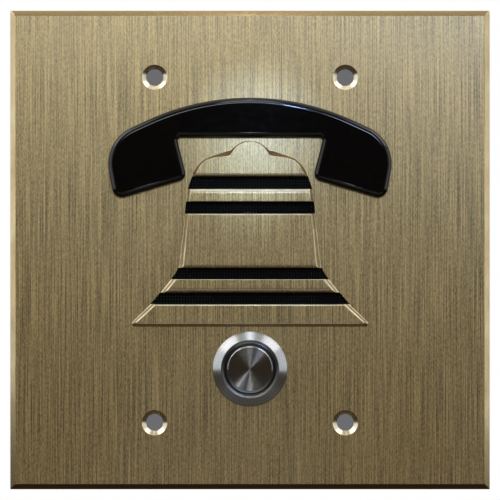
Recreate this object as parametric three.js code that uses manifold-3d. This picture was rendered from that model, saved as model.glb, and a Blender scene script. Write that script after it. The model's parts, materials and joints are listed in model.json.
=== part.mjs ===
// Door intercom panel, in millimetres: a brass plate with a slotted speaker grille, a push button and the
// electronics behind it. +Z is up and +X is to the right of a visitor, who stands on the -Y side. The wall's
// face is y = 0, and the origin is there behind the middle of the plate.
import * as THREE from "three";
import { mergeVertices } from "three/addons/utils/BufferGeometryUtils.js";
import Module from "manifold-3d";

const wasm = await Module();
wasm.setup();

// ---- Driving dimensions ----
const GAP = 0.05; // clearance between pieces that touch
const GASKET = { thickness: 1.5, outer: 56.5, inner: 47, corner: 3 };
const PLATE = { width: 115.8, height: 115.6, thickness: 2, bevel: 1.35, bevelDepth: 0.9, relief: 1.5 };
const PLATE_BACK = -GASKET.thickness - GAP;
const PLATE_FRONT = PLATE_BACK - PLATE.thickness;
const RELIEF_FRONT = PLATE_FRONT - PLATE.relief;
const REAR = PLATE_BACK + GAP; // the first plane that a piece behind the plate may use

// Two-gang wall box screws: spacing 1.812 x 3.281 inches, countersunk at 90 degrees.
const WALL_SCREW = { x: 23.02, z: 41.67, radius: 2.05, sinkRadius: 3.05 };

const HANDSET_THICKNESS = 2.3;
const PEG = { radius: 1.5, hole: 1.7, end: -0.3, places: [[-25.5, 20.5], [25.5, 20.5], [0, 32]] };

const SPEAKER = { z: 2.5, flange: 20, lip: 15.5, front: 0.35, magnet: 14 };
const STUD = { x: 23, radius: 1.5, hole: 1.6, depth: 1, end: 5 };

const BUTTON = { z: -28.6, bezel: 9, barrel: 8, hole: 8.15, bore: 6.1, rearBore: 7, rear: 13 };
const CAP = { radius: 5.95, flat: 4.55, skirt: 6.75 };
const CONTACT_X = 3.5;

const BOARD = { front: 9, thickness: 1.6, halfWidth: 41, bottom: -18.5, top: 35.5, hole: 17 };
const BOARD_BACK = BOARD.front + BOARD.thickness;
const SEAT = BOARD_BACK + GAP; // where a component stands on the board
const STANDOFF = { radius: 2.75, spigot: 1.9, hole: 1.95, bore: 1.3, boreEnd: 3 };
const STANDOFF_PLACES = [[-36, 31], [36, 31], [-36, -13], [36, -13]];
const BOARD_SCREW = { radius: 1.2, hole: 1.7, tip: 3.5, head: 2.7, headHeight: 1.9 };
const MICROPHONE = { x: 19.5, z: -11.6, radius: 3, front: 4.5, boot: 3.9 };
const TERMINAL = { poles: [-16.5, -11.5], z: 28.5, halfPole: 2.7, bottom: 24.5, top: 33.5, height: 10 };
const TRIMMER = { x: 28.3, z: -8, half: 3.3, height: 4.4, rotor: 2.3 };

// ---- Outlines: [x, z, corner radius], from the top centre down the right side ----
const BELL_BASE = [
  [0, 28, 5.4], [4.6, 24.2, 2.6], [12.6, 21.5, 6], [14.95, 14.6, 10], [16.1, 4.5, 0], [17.2, -4.9, 6],
  [23.4, -12.6, 25], [28.7, -17.7, 0.5], [28.2, -18.5, 0.4],
];
const BELL_FACE = [
  [0, 30.4, 4.8], [4.85, 22.7, 0.3], [11, 22, 4.6], [14.3, 16.2, 8], [15.2, 5, 0], [16, -4.8, 7],
  [22.4, -12.9, 25], [27.3, -17.3, 0.45], [27.1, -17.9, 0.3],
];
const BELL_POCKET = [
  [0, 25.4, 3.6], [3.9, 22.4, 2.4], [11, 19.8, 4.6], [13.3, 14.2, 8], [15.5, -5.4, 7],
  [21.6, -13.2, 22], [25, -16.7, 0.6],
];
const SLOTS = [[17.75, 14.7], [11.7, 8.8], [-4.3, -7.05], [-10.25, -13.05]]; // top and bottom z of each
const HANDSET = [[0, 42.75, 59], [35.3, 26.4, 9.5], [32.7, 12, 2.4], [15.15, 17.2, 1.9], [17.6, 27.1, 0.8]];
const MESH_SHEET = [[17.5, 27.5, 0], [19, 5, 0], [27.5, -12, 0], [27.5, -18.6, 0]];

// ---- Materials ----
function material(color, roughness, metalness) {
  return new THREE.MeshStandardMaterial({ color, roughness, metalness });
}
const brass = material(0x8c7a52, 0.38, 0.95);
const stainless = material(0xb9bcbd, 0.3, 1);
const zincSteel = material(0xa8aaa6, 0.42, 1);
const glossBlack = material(0x08090a, 0.12, 0);
const blackNylon = material(0x17181a, 0.55, 0);
const blackMesh = material(0x0c0c0d, 0.7, 0.3);
const foam = material(0x2b2b2c, 0.95, 0);
const rubber = material(0x1a1a1b, 0.85, 0);
const paper = material(0x222120, 0.9, 0);
const ferrite = material(0x2e2e30, 0.6, 0.1);
const copper = material(0xb87333, 0.35, 1);
const boardGreen = material(0x1e5a35, 0.45, 0);
const terminalGreen = material(0x2d8a4a, 0.5, 0);
const tinned = material(0xc3c4c1, 0.3, 1);
const capSleeve = material(0x1d2430, 0.4, 0);
const coilTape = material(0xb79a3c, 0.5, 0);
const trimmerBlue = material(0x2b4fa0, 0.45, 0);
const leadRed = material(0x9a1f1a, 0.5, 0);
const leadBlack = material(0x151515, 0.5, 0);
const leadWhite = material(0xcfccc2, 0.5, 0);

// ---- Shapes ----

// A half outline and its mirror image, which close on each other.
function mirrored(half) {
  const left = half.filter(([x]) => x !== 0).map(([x, z, radius]) => [-x, z, radius]);
  return [...half, ...left.reverse()];
}

// A polygon's points, counterclockwise, with each corner rounded to its own radius.
function rounded(corners, steps = 3) {
  const points = corners.flatMap(([x, z, radius], i) => {
    const here = new THREE.Vector2(x, z);
    if (radius === 0) return [here];
    const [beforeX, beforeZ] = corners.at(i - 1);
    const [afterX, afterZ] = corners[(i + 1) % corners.length];
    const back = new THREE.Vector2(beforeX, beforeZ).sub(here).normalize();
    const ahead = new THREE.Vector2(afterX, afterZ).sub(here).normalize();
    const half = back.angleTo(ahead) / 2;
    const centre = back.clone().add(ahead).setLength(radius / Math.sin(half)).add(here);
    const start = back.clone().multiplyScalar(radius / Math.tan(half)).add(here).sub(centre);
    const end = ahead.clone().multiplyScalar(radius / Math.tan(half)).add(here).sub(centre);
    const turn = Math.sign(start.cross(end)) * (Math.PI - 2 * half);
    return Array.from({ length: steps + 1 }, (_, k) =>
      start.clone().rotateAround(new THREE.Vector2(), (turn * k) / steps).add(centre));
  });
  return THREE.ShapeUtils.isClockWise(points) ? points.reverse() : points;
}

// A regular polygon's points round (x, z). Its first corner is on the +Z side, as a turned piece's is.
function circle(radius, x = 0, z = 0, sides = 24) {
  return Array.from({ length: sides }, (_, i) => {
    const angle = (2 * Math.PI * i) / sides;
    return new THREE.Vector2(x + radius * Math.sin(angle), z + radius * Math.cos(angle));
  });
}

// A hexagon with flats above and below, for a nut of this width across flats.
function hexagon(acrossFlats, x, z) {
  const corner = acrossFlats / Math.sqrt(3);
  return circle(corner, 0, 0, 6).map((p) => new THREE.Vector2(x + p.y, z + p.x));
}

// The plane figure (x, z), from y = front to y = back.
function slab(points, front, back, holes = []) {
  const shape = new THREE.Shape(points);
  shape.holes = holes.map((hole) => new THREE.Path(hole));
  return new THREE.ExtrudeGeometry(shape, { depth: back - front, bevelEnabled: false })
    .rotateX(Math.PI / 2)
    .translate(0, back, 0);
}

// A box from its lowest to its highest corner.
function box([x0, y0, z0], [x1, y1, z1]) {
  return new THREE.BoxGeometry(x1 - x0, y1 - y0, z1 - z0)
    .translate((x0 + x1) / 2, (y0 + y1) / 2, (z0 + z1) / 2);
}

// A profile of [radius, y], turned about a Y axis through (x, z).
function turned(profile, x = 0, z = 0, sides = 24) {
  const points = profile.map(([radius, y]) => new THREE.Vector2(radius, y));
  return new THREE.LatheGeometry(points, sides).translate(x, 0, z);
}

function disc(radius, front, back, x = 0, z = 0, sides = 24) {
  return turned([[0, front], [radius, front], [radius, back], [0, back]], x, z, sides);
}

function ring(inner, outer, front, back, x = 0, z = 0, sides = 24) {
  return turned([[inner, front], [outer, front], [outer, back], [inner, back], [inner, front]], x, z, sides);
}

// A solid through outlines of equal length, each at its own y, the front one first.
function loft(levels) {
  const count = levels[0].points.length;
  const positions = levels.flatMap(({ points, y }) => points.flatMap((p) => [p.x, y, p.y]));
  const faces = [];
  for (let level = 0; level + 1 < levels.length; level++) {
    for (let i = 0; i < count; i++) {
      const a = level * count + i;
      const b = level * count + ((i + 1) % count);
      faces.push(a, b + count, b, a, a + count, b + count);
    }
  }
  for (const level of [0, levels.length - 1]) {
    const { points } = levels[level];
    for (const face of THREE.ShapeUtils.triangulateShape(points, [])) {
      const clockwise = THREE.ShapeUtils.isClockWise(face.map((k) => points[k]));
      const facesFront = clockwise ? face.toReversed() : face;
      const facing = level === 0 ? facesFront : facesFront.toReversed();
      faces.push(...facing.map((k) => level * count + k));
    }
  }
  const geometry = new THREE.BufferGeometry();
  geometry.setAttribute("position", new THREE.Float32BufferAttribute(positions, 3));
  geometry.setIndex(faces);
  return geometry;
}

// An insulated lead along a smooth curve.
function lead(route, radius = 0.65, steps = 18) {
  const curve = new THREE.CatmullRomCurve3(route.map((p) => new THREE.Vector3(...p)));
  const section = new THREE.Shape(circle(radius, 0, 0, 8));
  return new THREE.ExtrudeGeometry(section, { extrudePath: curve, steps, bevelEnabled: false });
}

// ---- Joining and cutting ----
function solidOf(geometry) {
  const plain = geometry.clone();
  plain.deleteAttribute("normal");
  plain.deleteAttribute("uv");
  const merged = mergeVertices(plain, 1e-4);
  const corners = Array.from(merged.index.array);
  const faces = [];
  for (let i = 0; i < corners.length; i += 3) {
    const face = corners.slice(i, i + 3);
    if (new Set(face).size === 3) faces.push(...face);
  }
  return new wasm.Manifold(new wasm.Mesh({
    numProp: 3,
    vertProperties: Float32Array.from(merged.attributes.position.array),
    triVerts: Uint32Array.from(faces),
  }));
}

function geometryOf(solid) {
  const { vertProperties, triVerts } = solid.getMesh();
  const geometry = new THREE.BufferGeometry();
  geometry.setAttribute("position", new THREE.BufferAttribute(vertProperties, 3));
  geometry.setIndex(new THREE.BufferAttribute(triVerts, 1));
  geometry.computeVertexNormals();
  return geometry;
}

function joined(...pieces) {
  return geometryOf(pieces.map(solidOf).reduce((whole, piece) => whole.add(piece)));
}

function cut(body, ...tools) {
  return geometryOf(tools.map(solidOf).reduce((left, tool) => left.subtract(tool), solidOf(body)));
}

function common(a, b) {
  return geometryOf(solidOf(a).intersect(solidOf(b)));
}

// ---- The assembly ----
const panel = new THREE.Group();

function add(name, geometry, finish) {
  const mesh = new THREE.Mesh(geometry, finish);
  mesh.name = name;
  panel.add(mesh);
}

// The cast plate: bevelled edges, the raised bell, its hollow back and every hole.
function facePlate() {
  const bevelBack = PLATE_FRONT + PLATE.bevelDepth;
  const square = (inset, y) => {
    const x = PLATE.width / 2 - inset;
    const z = PLATE.height / 2 - inset;
    return { y, points: rounded([[x, z, 0], [-x, z, 0], [-x, -z, 0], [x, -z, 0]]) };
  };
  const sheet = loft([square(PLATE.bevel, PLATE_FRONT), square(0, bevelBack), square(0, PLATE_BACK)]);
  const base = rounded(mirrored(BELL_BASE));
  const bell = loft([
    { y: RELIEF_FRONT, points: rounded(mirrored(BELL_FACE)) },
    { y: PLATE_FRONT, points: base },
    { y: PLATE_FRONT + 0.5, points: base },
  ]);
  const pocket = slab(rounded(mirrored(BELL_POCKET)), RELIEF_FRONT + PLATE.thickness, 0);
  const slotWidth = 1.01; // the slots run just past the bell's foot
  const through = slab(base.map((p) => new THREE.Vector2(p.x * slotWidth, p.y)), RELIEF_FRONT - 1, 0);
  const slots = SLOTS.map(([top, bottom]) => common(through, box([-40, -9, bottom], [40, 1, top])));
  const { radius: screwRadius, sinkRadius } = WALL_SCREW;
  const screwHole = [
    [0, PLATE_FRONT - 0.5], [sinkRadius + 0.5, PLATE_FRONT - 0.5],
    [screwRadius, PLATE_FRONT + sinkRadius - screwRadius], [screwRadius, 0], [0, 0],
  ];
  const screwHoles = [-1, 1].flatMap((sideX) => [-1, 1].map((sideZ) =>
    turned(screwHole, sideX * WALL_SCREW.x, sideZ * WALL_SCREW.z, 24)));
  const pegHoles = PEG.places.map(([x, z]) => disc(PEG.hole, PLATE_FRONT - 1, 0, x, z, 16));
  const blind = PLATE_BACK - STUD.depth;
  const studHoles = [-1, 1].map((side) => disc(STUD.hole, blind, 0, side * STUD.x, SPEAKER.z, 16));
  const standoffHoles = STANDOFF_PLACES.map(([x, z]) => disc(STANDOFF.hole, blind, 0, x, z, 16));
  const buttonHole = disc(BUTTON.hole, PLATE_FRONT - 1, 0, 0, BUTTON.z, 32);
  const holes = [...screwHoles, ...pegHoles, ...studHoles, ...standoffHoles, buttonHole];
  return cut(joined(sheet, bell), pocket, ...slots, ...holes);
}

function wallGasket() {
  const corners = [[1, 1], [-1, 1], [-1, -1], [1, -1]];
  const square = (half) => rounded(corners.map(([x, z]) => [x * half, z * half, GASKET.corner]));
  return slab(square(GASKET.outer), -GASKET.thickness, 0, [square(GASKET.inner)]);
}

// The handset inlay and the three pegs that hold it through the plate.
function handsetInlay() {
  const front = PLATE_FRONT - GAP - HANDSET_THICKNESS;
  const face = slab(rounded(mirrored(HANDSET), 6), front, PLATE_FRONT - GAP);
  return joined(face, ...PEG.places.map(([x, z]) => disc(PEG.radius, front + 1, PEG.end, x, z, 16)));
}

add("face_plate", facePlate(), brass);
add("wall_gasket", wallGasket(), foam);
add("handset_inlay", handsetInlay(), glossBlack);
for (const [i, side] of ["left", "right", "top"].entries()) {
  const [x, z] = PEG.places[i];
  add(`handset_push_nut_${side}`, ring(PEG.radius + 0.06, 4, REAR, REAR + 0.4, x, z, 16), zincSteel);
}
add("grille_mesh", slab(rounded(mirrored(MESH_SHEET)), REAR, REAR + 0.25), blackMesh);

// ---- Speaker: every piece is turned about the Y axis through (0, SPEAKER.z) ----
function speakerPiece(name, profile, finish) {
  add(name, turned(profile, 0, SPEAKER.z), finish);
}

// The pressed frame: a flange with two ears, a windowed basket, a shelf for the spider and a floor.
function speakerFrame() {
  const { front, flange, lip, z } = SPEAKER;
  const back = front + 1;
  const shell = turned([
    [lip, front], [flange, front], [flange, back], [18, back], [15.3, 5.9], [13, 5.9], [13, 8.4], [7.6, 8.4],
    [7.6, 7.7], [12.3, 7.7], [12.3, 5.2], [14.7, 5.2], [16.9, back], [lip, back], [lip, front],
  ], 0, z);
  const earRadius = 3.5;
  const ears = [-1, 1].flatMap((side) => {
    const x = side * STUD.x;
    const neck = side * (flange - 1.5);
    return [
      box([Math.min(x, neck), front, z - earRadius], [Math.max(x, neck), back, z + earRadius]),
      disc(earRadius, front, back, x, z),
    ];
  });
  const holes = [-1, 1].map((side) => disc(STUD.radius + 0.2, front - 1, back + 1, side * STUD.x, z, 16));
  const windows = [45, 135, 225, 315].map((degrees) =>
    box([13.8, 2.1, -4.5], [20, 4.9, 4.5]).rotateY(THREE.MathUtils.degToRad(degrees)).translate(0, 0, z));
  return cut(joined(shell, ...ears), ...holes, ...windows);
}

add("speaker_gasket", ring(17, 20, -1.2, 0.3, 0, SPEAKER.z), foam);
add("speaker_frame", speakerFrame(), zincSteel);
speakerPiece("speaker_surround", [
  [12.8, 0.05], [13.4, 0.05], [13.8, 0.95], [14.8, 0.95], [15.2, 0.05], [16.9, 0.05], [16.9, 0.3],
  [15.4, 0.3], [14.9, 1.25], [13.7, 1.25], [13.2, 0.3], [12.8, 0.3], [12.8, 0.05],
], rubber);
speakerPiece("speaker_cone", [
  [6.85, 4.75], [12.5, 0.35], [13.1, 0.35], [13.1, 0.65], [12.65, 0.65], [6.85, 5.2], [6.85, 4.75],
], paper);
speakerPiece("dust_cap", [
  [0, 2.3], [3.5, 2.75], [5.6, 3.7], [6.5, 4.4], [6.3, 4.65], [5.4, 4], [3.4, 3.05], [0, 2.6],
], paper);
speakerPiece("voice_coil", [
  [6.3, 4.9], [6.7, 4.9], [6.7, 8.4], [6.9, 8.4], [6.9, 10.2], [6.3, 10.2], [6.3, 4.9],
], copper);
speakerPiece("speaker_spider", [
  [6.85, 5.3], [9, 5.3], [11.8, 4.85], [14.3, 4.85], [14.3, 5.1], [11.7, 5.1], [9, 5.55], [6.85, 5.55],
  [6.85, 5.3],
], paper);
add("speaker_top_plate", ring(7.1, 13.2, 8.45, 9.95, 0, SPEAKER.z), zincSteel);
add("speaker_magnet", ring(8, SPEAKER.magnet, 10, 15, 0, SPEAKER.z), ferrite);
speakerPiece("speaker_yoke", [
  [0, 8.45], [6.1, 8.45], [6.1, 15.05], [13.2, 15.05], [13.2, 17], [0, 17],
], zincSteel);

// A phenolic strip on the back of the flange, with two solder lugs.
add("speaker_terminal_strip", joined(
  box([-5, 1.4, 20.9], [5, 2.2, 25.5]),
  ...[-3, 3].map((x) => box([x - 0.8, 2, 22.2], [x + 0.8, 3, 24.8])),
), blackNylon);

for (const [side, name] of [[-1, "left"], [1, "right"]]) {
  const x = side * STUD.x;
  const studFront = PLATE_BACK - STUD.depth + GAP;
  add(`speaker_stud_${name}`, disc(STUD.radius, studFront, STUD.end, x, SPEAKER.z, 16), zincSteel);
  const nutFront = SPEAKER.front + 1 + GAP;
  const bore = circle(STUD.radius + 0.05, x, SPEAKER.z, 16);
  add(`speaker_nut_${name}`, slab(hexagon(5.5, x, SPEAKER.z), nutFront, nutFront + 2.4, [bore]), zincSteel);
}

// ---- Push button: every turned piece is about the Y axis through (0, BUTTON.z) ----
function buttonPiece(name, profile, finish, sides = 24) {
  add(name, turned(profile, 0, BUTTON.z, sides), finish);
}

const flangeBack = PLATE_FRONT - GAP;
buttonPiece("button_housing", [
  [BUTTON.bore, -5], [6.65, -5.7], [7, -5.75], [8.9, -4.45], [BUTTON.bezel, -4.3], [BUTTON.bezel, flangeBack],
  [8.78, flangeBack], [8.78, flangeBack - 0.4], [BUTTON.barrel, flangeBack - 0.4],
  [BUTTON.barrel, BUTTON.rear], [BUTTON.rearBore, BUTTON.rear], [BUTTON.rearBore, -2], [BUTTON.bore, -2],
  [BUTTON.bore, -5],
], stainless, 32);
add("button_seal_washer", ring(8.06, 8.72, flangeBack - 0.35, flangeBack, 0, BUTTON.z), rubber);
const lockNutBore = circle(BUTTON.barrel + GAP, 0, BUTTON.z, 32);
add("button_lock_nut", slab(hexagon(19, 0, BUTTON.z), REAR, REAR + 2.2, [lockNutBore]), zincSteel);
buttonPiece("button_cap", [
  [0, -5.6], [CAP.flat, -5.6], [CAP.radius, -4.95], [CAP.radius, -1.95], [CAP.skirt, -1.95],
  [CAP.skirt, -0.5], [0, -0.5],
], stainless, 32);
buttonPiece("button_plunger", [[0, -0.45], [1.6, -0.45], [1.6, 9.3], [0, 9.3]], blackNylon);
add("button_return_spring", ring(2.4, 3.6, -0.4, 7.95, 0, BUTTON.z), stainless);
add("button_contact_bridge", box([-4.3, 9.35, BUTTON.z - 1.2], [4.3, 9.75, BUTTON.z + 1.2]), copper);

// The contact carrier: it closes the barrel, guides the plunger and holds the two fixed contacts.
function switchBase() {
  const body = turned([
    [1.9, 8], [6.9, 8], [6.9, 13.05], [7.9, 13.05], [7.9, 19], [0, 19], [0, 12.5], [5.5, 12.5], [5.5, 8.9],
    [1.9, 8.9], [1.9, 8],
  ], 0, BUTTON.z);
  const slots = [-1, 1].map((side) => {
    const x = side * CONTACT_X;
    return box([x - 0.4, 12, BUTTON.z - 1.5], [x + 0.4, 20, BUTTON.z + 1.5]);
  });
  return cut(body, ...slots);
}
add("button_switch_base", switchBase(), blackNylon);
for (const [side, name] of [[-1, "left"], [1, "right"]]) {
  const x = side * CONTACT_X;
  add(`button_terminal_${name}`, joined(
    box([x - 0.3, 11.7, BUTTON.z - 1.4], [x + 0.3, 23, BUTTON.z + 1.4]),
    box([x - 0.8, 11.42, BUTTON.z - 1.4], [x + 0.8, 11.9, BUTTON.z + 1.4]),
  ), copper);
}

// ---- Circuit board and what stands on it ----
function circuitBoard() {
  const { halfWidth, bottom, top, front, hole } = BOARD;
  const edge = rounded([
    [halfWidth, top, 2], [-halfWidth, top, 2], [-halfWidth, bottom, 2], [halfWidth, bottom, 2],
  ]);
  const screwHoles = STANDOFF_PLACES.map(([x, z]) => circle(BOARD_SCREW.hole, x, z, 16));
  return slab(edge, front, BOARD_BACK, [circle(hole, 0, SPEAKER.z, 40), ...screwHoles]);
}
add("circuit_board", circuitBoard(), boardGreen);

// A pan head screw with a cross recess holds the board on each standoff.
function boardScrew(x, z) {
  const { radius, tip, head, headHeight } = BOARD_SCREW;
  const body = turned([
    [0, tip], [radius, tip], [radius, SEAT], [head, SEAT], [head, SEAT + 1], [head - 0.8, SEAT + 1.7],
    [0, SEAT + headHeight],
  ], x, z, 16);
  const recess = [[1.5, 0.3], [0.3, 1.5]].map(([dx, dz]) =>
    box([x - dx, SEAT + 0.8, z - dz], [x + dx, SEAT + 3, z + dz]));
  return cut(body, ...recess);
}

for (const [i, [x, z]] of STANDOFF_PLACES.entries()) {
  const { radius, spigot, bore, boreEnd } = STANDOFF;
  const front = PLATE_BACK - STUD.depth + GAP;
  const back = BOARD.front - GAP;
  add(`board_standoff_${i + 1}`, turned([
    [0, front], [spigot, front], [spigot, REAR], [radius, REAR], [radius, back], [bore, back],
    [bore, boreEnd], [0, boreEnd],
  ], x, z, 16), zincSteel);
  add(`board_screw_${i + 1}`, boardScrew(x, z), zincSteel);
}

{
  const { x, z, radius, front, boot } = MICROPHONE;
  add("microphone", disc(radius, front, BOARD.front - GAP, x, z), tinned);
  add("microphone_boot", ring(radius + 0.1, boot, -1.2, 8, x, z), rubber);
}

// Two-pole terminal block. In each pole a screw raises a cage, which pulls the wire against the block's roof.
const CAVITY = { halfWidth: 1.75, front: 11.3, back: 17, bottom: 26.2, top: 31 };
const TERMINAL_HEAD = { front: 18.35, back: 20, radius: 1.9, well: 2.05, shank: 1.2, tip: 13.65 };
const CAGE = { halfWidth: 1.6, front: 11.45, floor: 12, roof: 14.6, back: 15.35, wireHalfWidth: 1.05 };

function terminalBlock() {
  const { poles, halfPole, bottom, top, height, z } = TERMINAL;
  const block = box([poles[0] - halfPole, SEAT, bottom], [poles[1] + halfPole, SEAT + height, top]);
  const hollows = poles.flatMap((x) => [
    box([x - CAVITY.halfWidth, CAVITY.front, CAVITY.bottom], [x + CAVITY.halfWidth, CAVITY.back, CAVITY.top]),
    box([x - 1.5, 11.9, CAVITY.bottom + 1], [x + 1.5, 14.9, top + 1]),
    disc(TERMINAL_HEAD.well, TERMINAL_HEAD.front - GAP, SEAT + height + 1, x, z),
    disc(TERMINAL_HEAD.shank + 0.15, CAVITY.back - 1, TERMINAL_HEAD.front, x, z, 16),
  ]);
  return cut(block, ...hollows);
}
add("terminal_block", terminalBlock(), terminalGreen);

function terminalScrew(x) {
  const { front, back, radius, shank, tip } = TERMINAL_HEAD;
  const { z } = TERMINAL;
  const profile = [[0, tip], [shank, tip], [shank, front], [radius, front], [radius, back], [0, back]];
  const body = turned(profile, x, z, 16);
  return cut(body, box([x - 3, back - 0.8, z - 0.3], [x + 3, back + 1, z + 0.3]));
}

function terminalClamp(x) {
  const { halfWidth, front, floor, roof, back, wireHalfWidth } = CAGE;
  const { bottom, top } = CAVITY;
  const cage = box([x - halfWidth, front, bottom + 0.2], [x + halfWidth, back, top - 0.4]);
  const wireWay = box([x - wireHalfWidth, floor, bottom - 1], [x + wireHalfWidth, roof, top + 1]);
  const thread = disc(TERMINAL_HEAD.shank + 0.1, floor, back + 1, x, TERMINAL.z, 16);
  return cut(cage, wireWay, thread);
}

for (const [i, x] of TERMINAL.poles.entries()) {
  add(`terminal_screw_${i + 1}`, terminalScrew(x), zincSteel);
  add(`terminal_clamp_${i + 1}`, terminalClamp(x), copper);
}

// The line transformer: a laminated core with a wound bobbin through it.
add("audio_transformer", joined(
  box([22, SEAT, 11], [36, 21.5, 20.5]),
  turned([[0, 8], [3.4, 8], [4.6, 9.2], [4.6, 22.3], [3.4, 23.5], [0, 23.5]])
    .rotateX(Math.PI / 2)
    .translate(29, 16.1, 0),
), coilTape);
add("capacitor_large", turned([
  [0, SEAT], [4, SEAT], [4, SEAT + 1], [3.7, SEAT + 1.3], [4, SEAT + 1.7], [4, SEAT + 11.2],
  [3.6, SEAT + 11.5], [0, SEAT + 11.5],
], -27, 17, 24), capSleeve);
add("capacitor_small", turned([
  [0, SEAT], [2.5, SEAT], [2.5, SEAT + 6.8], [2.2, SEAT + 7], [0, SEAT + 7],
], -29, 6, 20), capSleeve);

// The amplifier chip on its fourteen pins.
function controlChip() {
  const body = box([2, SEAT + 0.5, 26], [21, SEAT + 4, 32.4]);
  const pitch = 2.54;
  const pins = Array.from({ length: 7 }, (_, i) => 11.5 + (i - 3) * pitch).flatMap((x) => [
    box([x - 0.45, SEAT, 25.3], [x + 0.45, SEAT + 2.2, 25.6]),
    box([x - 0.45, SEAT + 1.9, 25.3], [x + 0.45, SEAT + 2.2, 26.2]),
    box([x - 0.45, SEAT, 32.8], [x + 0.45, SEAT + 2.2, 33.1]),
    box([x - 0.45, SEAT + 1.9, 32.2], [x + 0.45, SEAT + 2.2, 33.1]),
  ]);
  return joined(body, ...pins);
}
add("control_chip", controlChip(), blackNylon);

// The volume trimmer: a square body with a slotted rotor.
{
  const { x, z, half, height, rotor } = TRIMMER;
  const back = SEAT + height;
  const body = box([x - half, SEAT, z - half], [x + half, back, z + half]);
  const well = disc(rotor + 0.12, back - 1.2, back + 1, x, z, 32);
  const dial = disc(rotor, back - 1.15, back + 0.35, x, z, 32);
  const driverSlot = box([x - 0.35, back - 0.5, z - 1.7], [x + 0.35, back + 1, z + 1.7]);
  add("trimmer_body", cut(body, well), trimmerBlue);
  add("trimmer_rotor", cut(dial, driverSlot), leadWhite);
}

// ---- Leads, each route from the part it feeds to the board, on the +X side ----
const SPEAKER_LEAD = [
  [3, 3.3, 23.6], [3.1, 5, 22.2], [3.2, 6.5, 19.8], [3.3, 8.6, 18], [3.4, 10.6, 17.75], [3.8, 12.6, 18.8],
  [4.6, 13.4, 20.8], [5.2, 12.6, 22.6], [5.4, 10.95, 23.1],
];
const BUTTON_LEAD = [
  [3.5, 23.35, -28.6], [4, 24.9, -27.6], [6, 25.2, -23.6], [8.4, 21.5, -18.8], [9.6, 15.5, -16.2],
  [9.8, 10.95, -15.6],
];

function onSide(side, route) {
  return route.map(([x, y, z]) => [side * x, y, z]);
}
add("speaker_lead_red", lead(onSide(-1, SPEAKER_LEAD)), leadRed);
add("speaker_lead_black", lead(onSide(1, SPEAKER_LEAD)), leadBlack);
add("button_lead_1", lead(onSide(-1, BUTTON_LEAD)), leadWhite);
add("button_lead_2", lead(onSide(1, BUTTON_LEAD)), leadWhite);

export default panel;
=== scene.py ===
"""Looks of the door intercom panel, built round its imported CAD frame.

Shapes are in millimetres, which mm() and mesh_object() turn into the frame's metres. The last section,
with the camera and the lights, is in metres.
"""
import json
import math

import bmesh
import bpy
from mathutils import Matrix, Vector
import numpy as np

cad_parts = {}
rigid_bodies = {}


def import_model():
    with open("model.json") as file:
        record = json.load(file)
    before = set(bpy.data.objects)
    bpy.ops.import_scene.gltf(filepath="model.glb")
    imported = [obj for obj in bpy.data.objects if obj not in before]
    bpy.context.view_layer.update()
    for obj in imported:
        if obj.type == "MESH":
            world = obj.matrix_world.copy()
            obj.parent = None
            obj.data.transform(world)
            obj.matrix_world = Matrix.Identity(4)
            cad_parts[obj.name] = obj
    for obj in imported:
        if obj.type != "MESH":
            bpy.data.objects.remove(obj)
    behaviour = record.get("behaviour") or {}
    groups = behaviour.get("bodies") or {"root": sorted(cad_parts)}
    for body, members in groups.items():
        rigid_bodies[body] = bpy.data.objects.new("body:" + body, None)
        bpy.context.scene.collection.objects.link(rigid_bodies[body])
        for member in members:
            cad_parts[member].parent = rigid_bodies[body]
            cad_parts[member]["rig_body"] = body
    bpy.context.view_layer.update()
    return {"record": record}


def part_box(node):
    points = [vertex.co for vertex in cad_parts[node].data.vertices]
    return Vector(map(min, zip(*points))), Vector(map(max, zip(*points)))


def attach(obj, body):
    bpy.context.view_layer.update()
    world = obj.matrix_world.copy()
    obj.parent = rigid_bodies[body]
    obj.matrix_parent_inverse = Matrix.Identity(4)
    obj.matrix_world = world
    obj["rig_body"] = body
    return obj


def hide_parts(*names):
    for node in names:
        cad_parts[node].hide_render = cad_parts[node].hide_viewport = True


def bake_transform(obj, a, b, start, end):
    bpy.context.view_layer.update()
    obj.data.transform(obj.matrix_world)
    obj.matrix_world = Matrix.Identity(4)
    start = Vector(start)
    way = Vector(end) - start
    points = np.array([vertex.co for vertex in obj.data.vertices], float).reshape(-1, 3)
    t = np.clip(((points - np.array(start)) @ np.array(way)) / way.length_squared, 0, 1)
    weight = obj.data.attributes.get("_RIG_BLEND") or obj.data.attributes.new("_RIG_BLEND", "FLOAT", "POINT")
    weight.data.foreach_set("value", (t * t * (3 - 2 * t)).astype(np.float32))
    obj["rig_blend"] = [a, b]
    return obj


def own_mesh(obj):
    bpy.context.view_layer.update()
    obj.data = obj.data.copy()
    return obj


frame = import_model()

RECORD = frame["record"]
BODY_OF = {node: body for body, nodes in RECORD["behaviour"]["bodies"].items() for node in nodes}


def mm(*values):
    """Millimetres as metres: one number, or a vector."""
    scaled = [value * 0.001 for value in values]
    return scaled[0] if len(scaled) == 1 else Vector(scaled)


class Box:
    """A CAD node's box in millimetres."""

    def __init__(self, node):
        low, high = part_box(node)
        self.x0, self.y0, self.z0 = (value * 1000 for value in low)
        self.x1, self.y1, self.z1 = (value * 1000 for value in high)
        self.x = (self.x0 + self.x1) / 2
        self.y = (self.y0 + self.y1) / 2
        self.z = (self.z0 + self.z1) / 2
        self.radius = (self.x1 - self.x0) / 2
        self.low = (self.x0, self.y0, self.z0)
        self.high = (self.x1, self.y1, self.z1)


PLATE = Box("face_plate")
RELIEF_FRONT = PLATE.y0
RELIEF = 1.5
PLATE_FRONT = RELIEF_FRONT + RELIEF
PLATE_BACK = PLATE.y1
EDGE_BEVEL = 1.35
EDGE_BEVEL_DEPTH = 0.9

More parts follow.
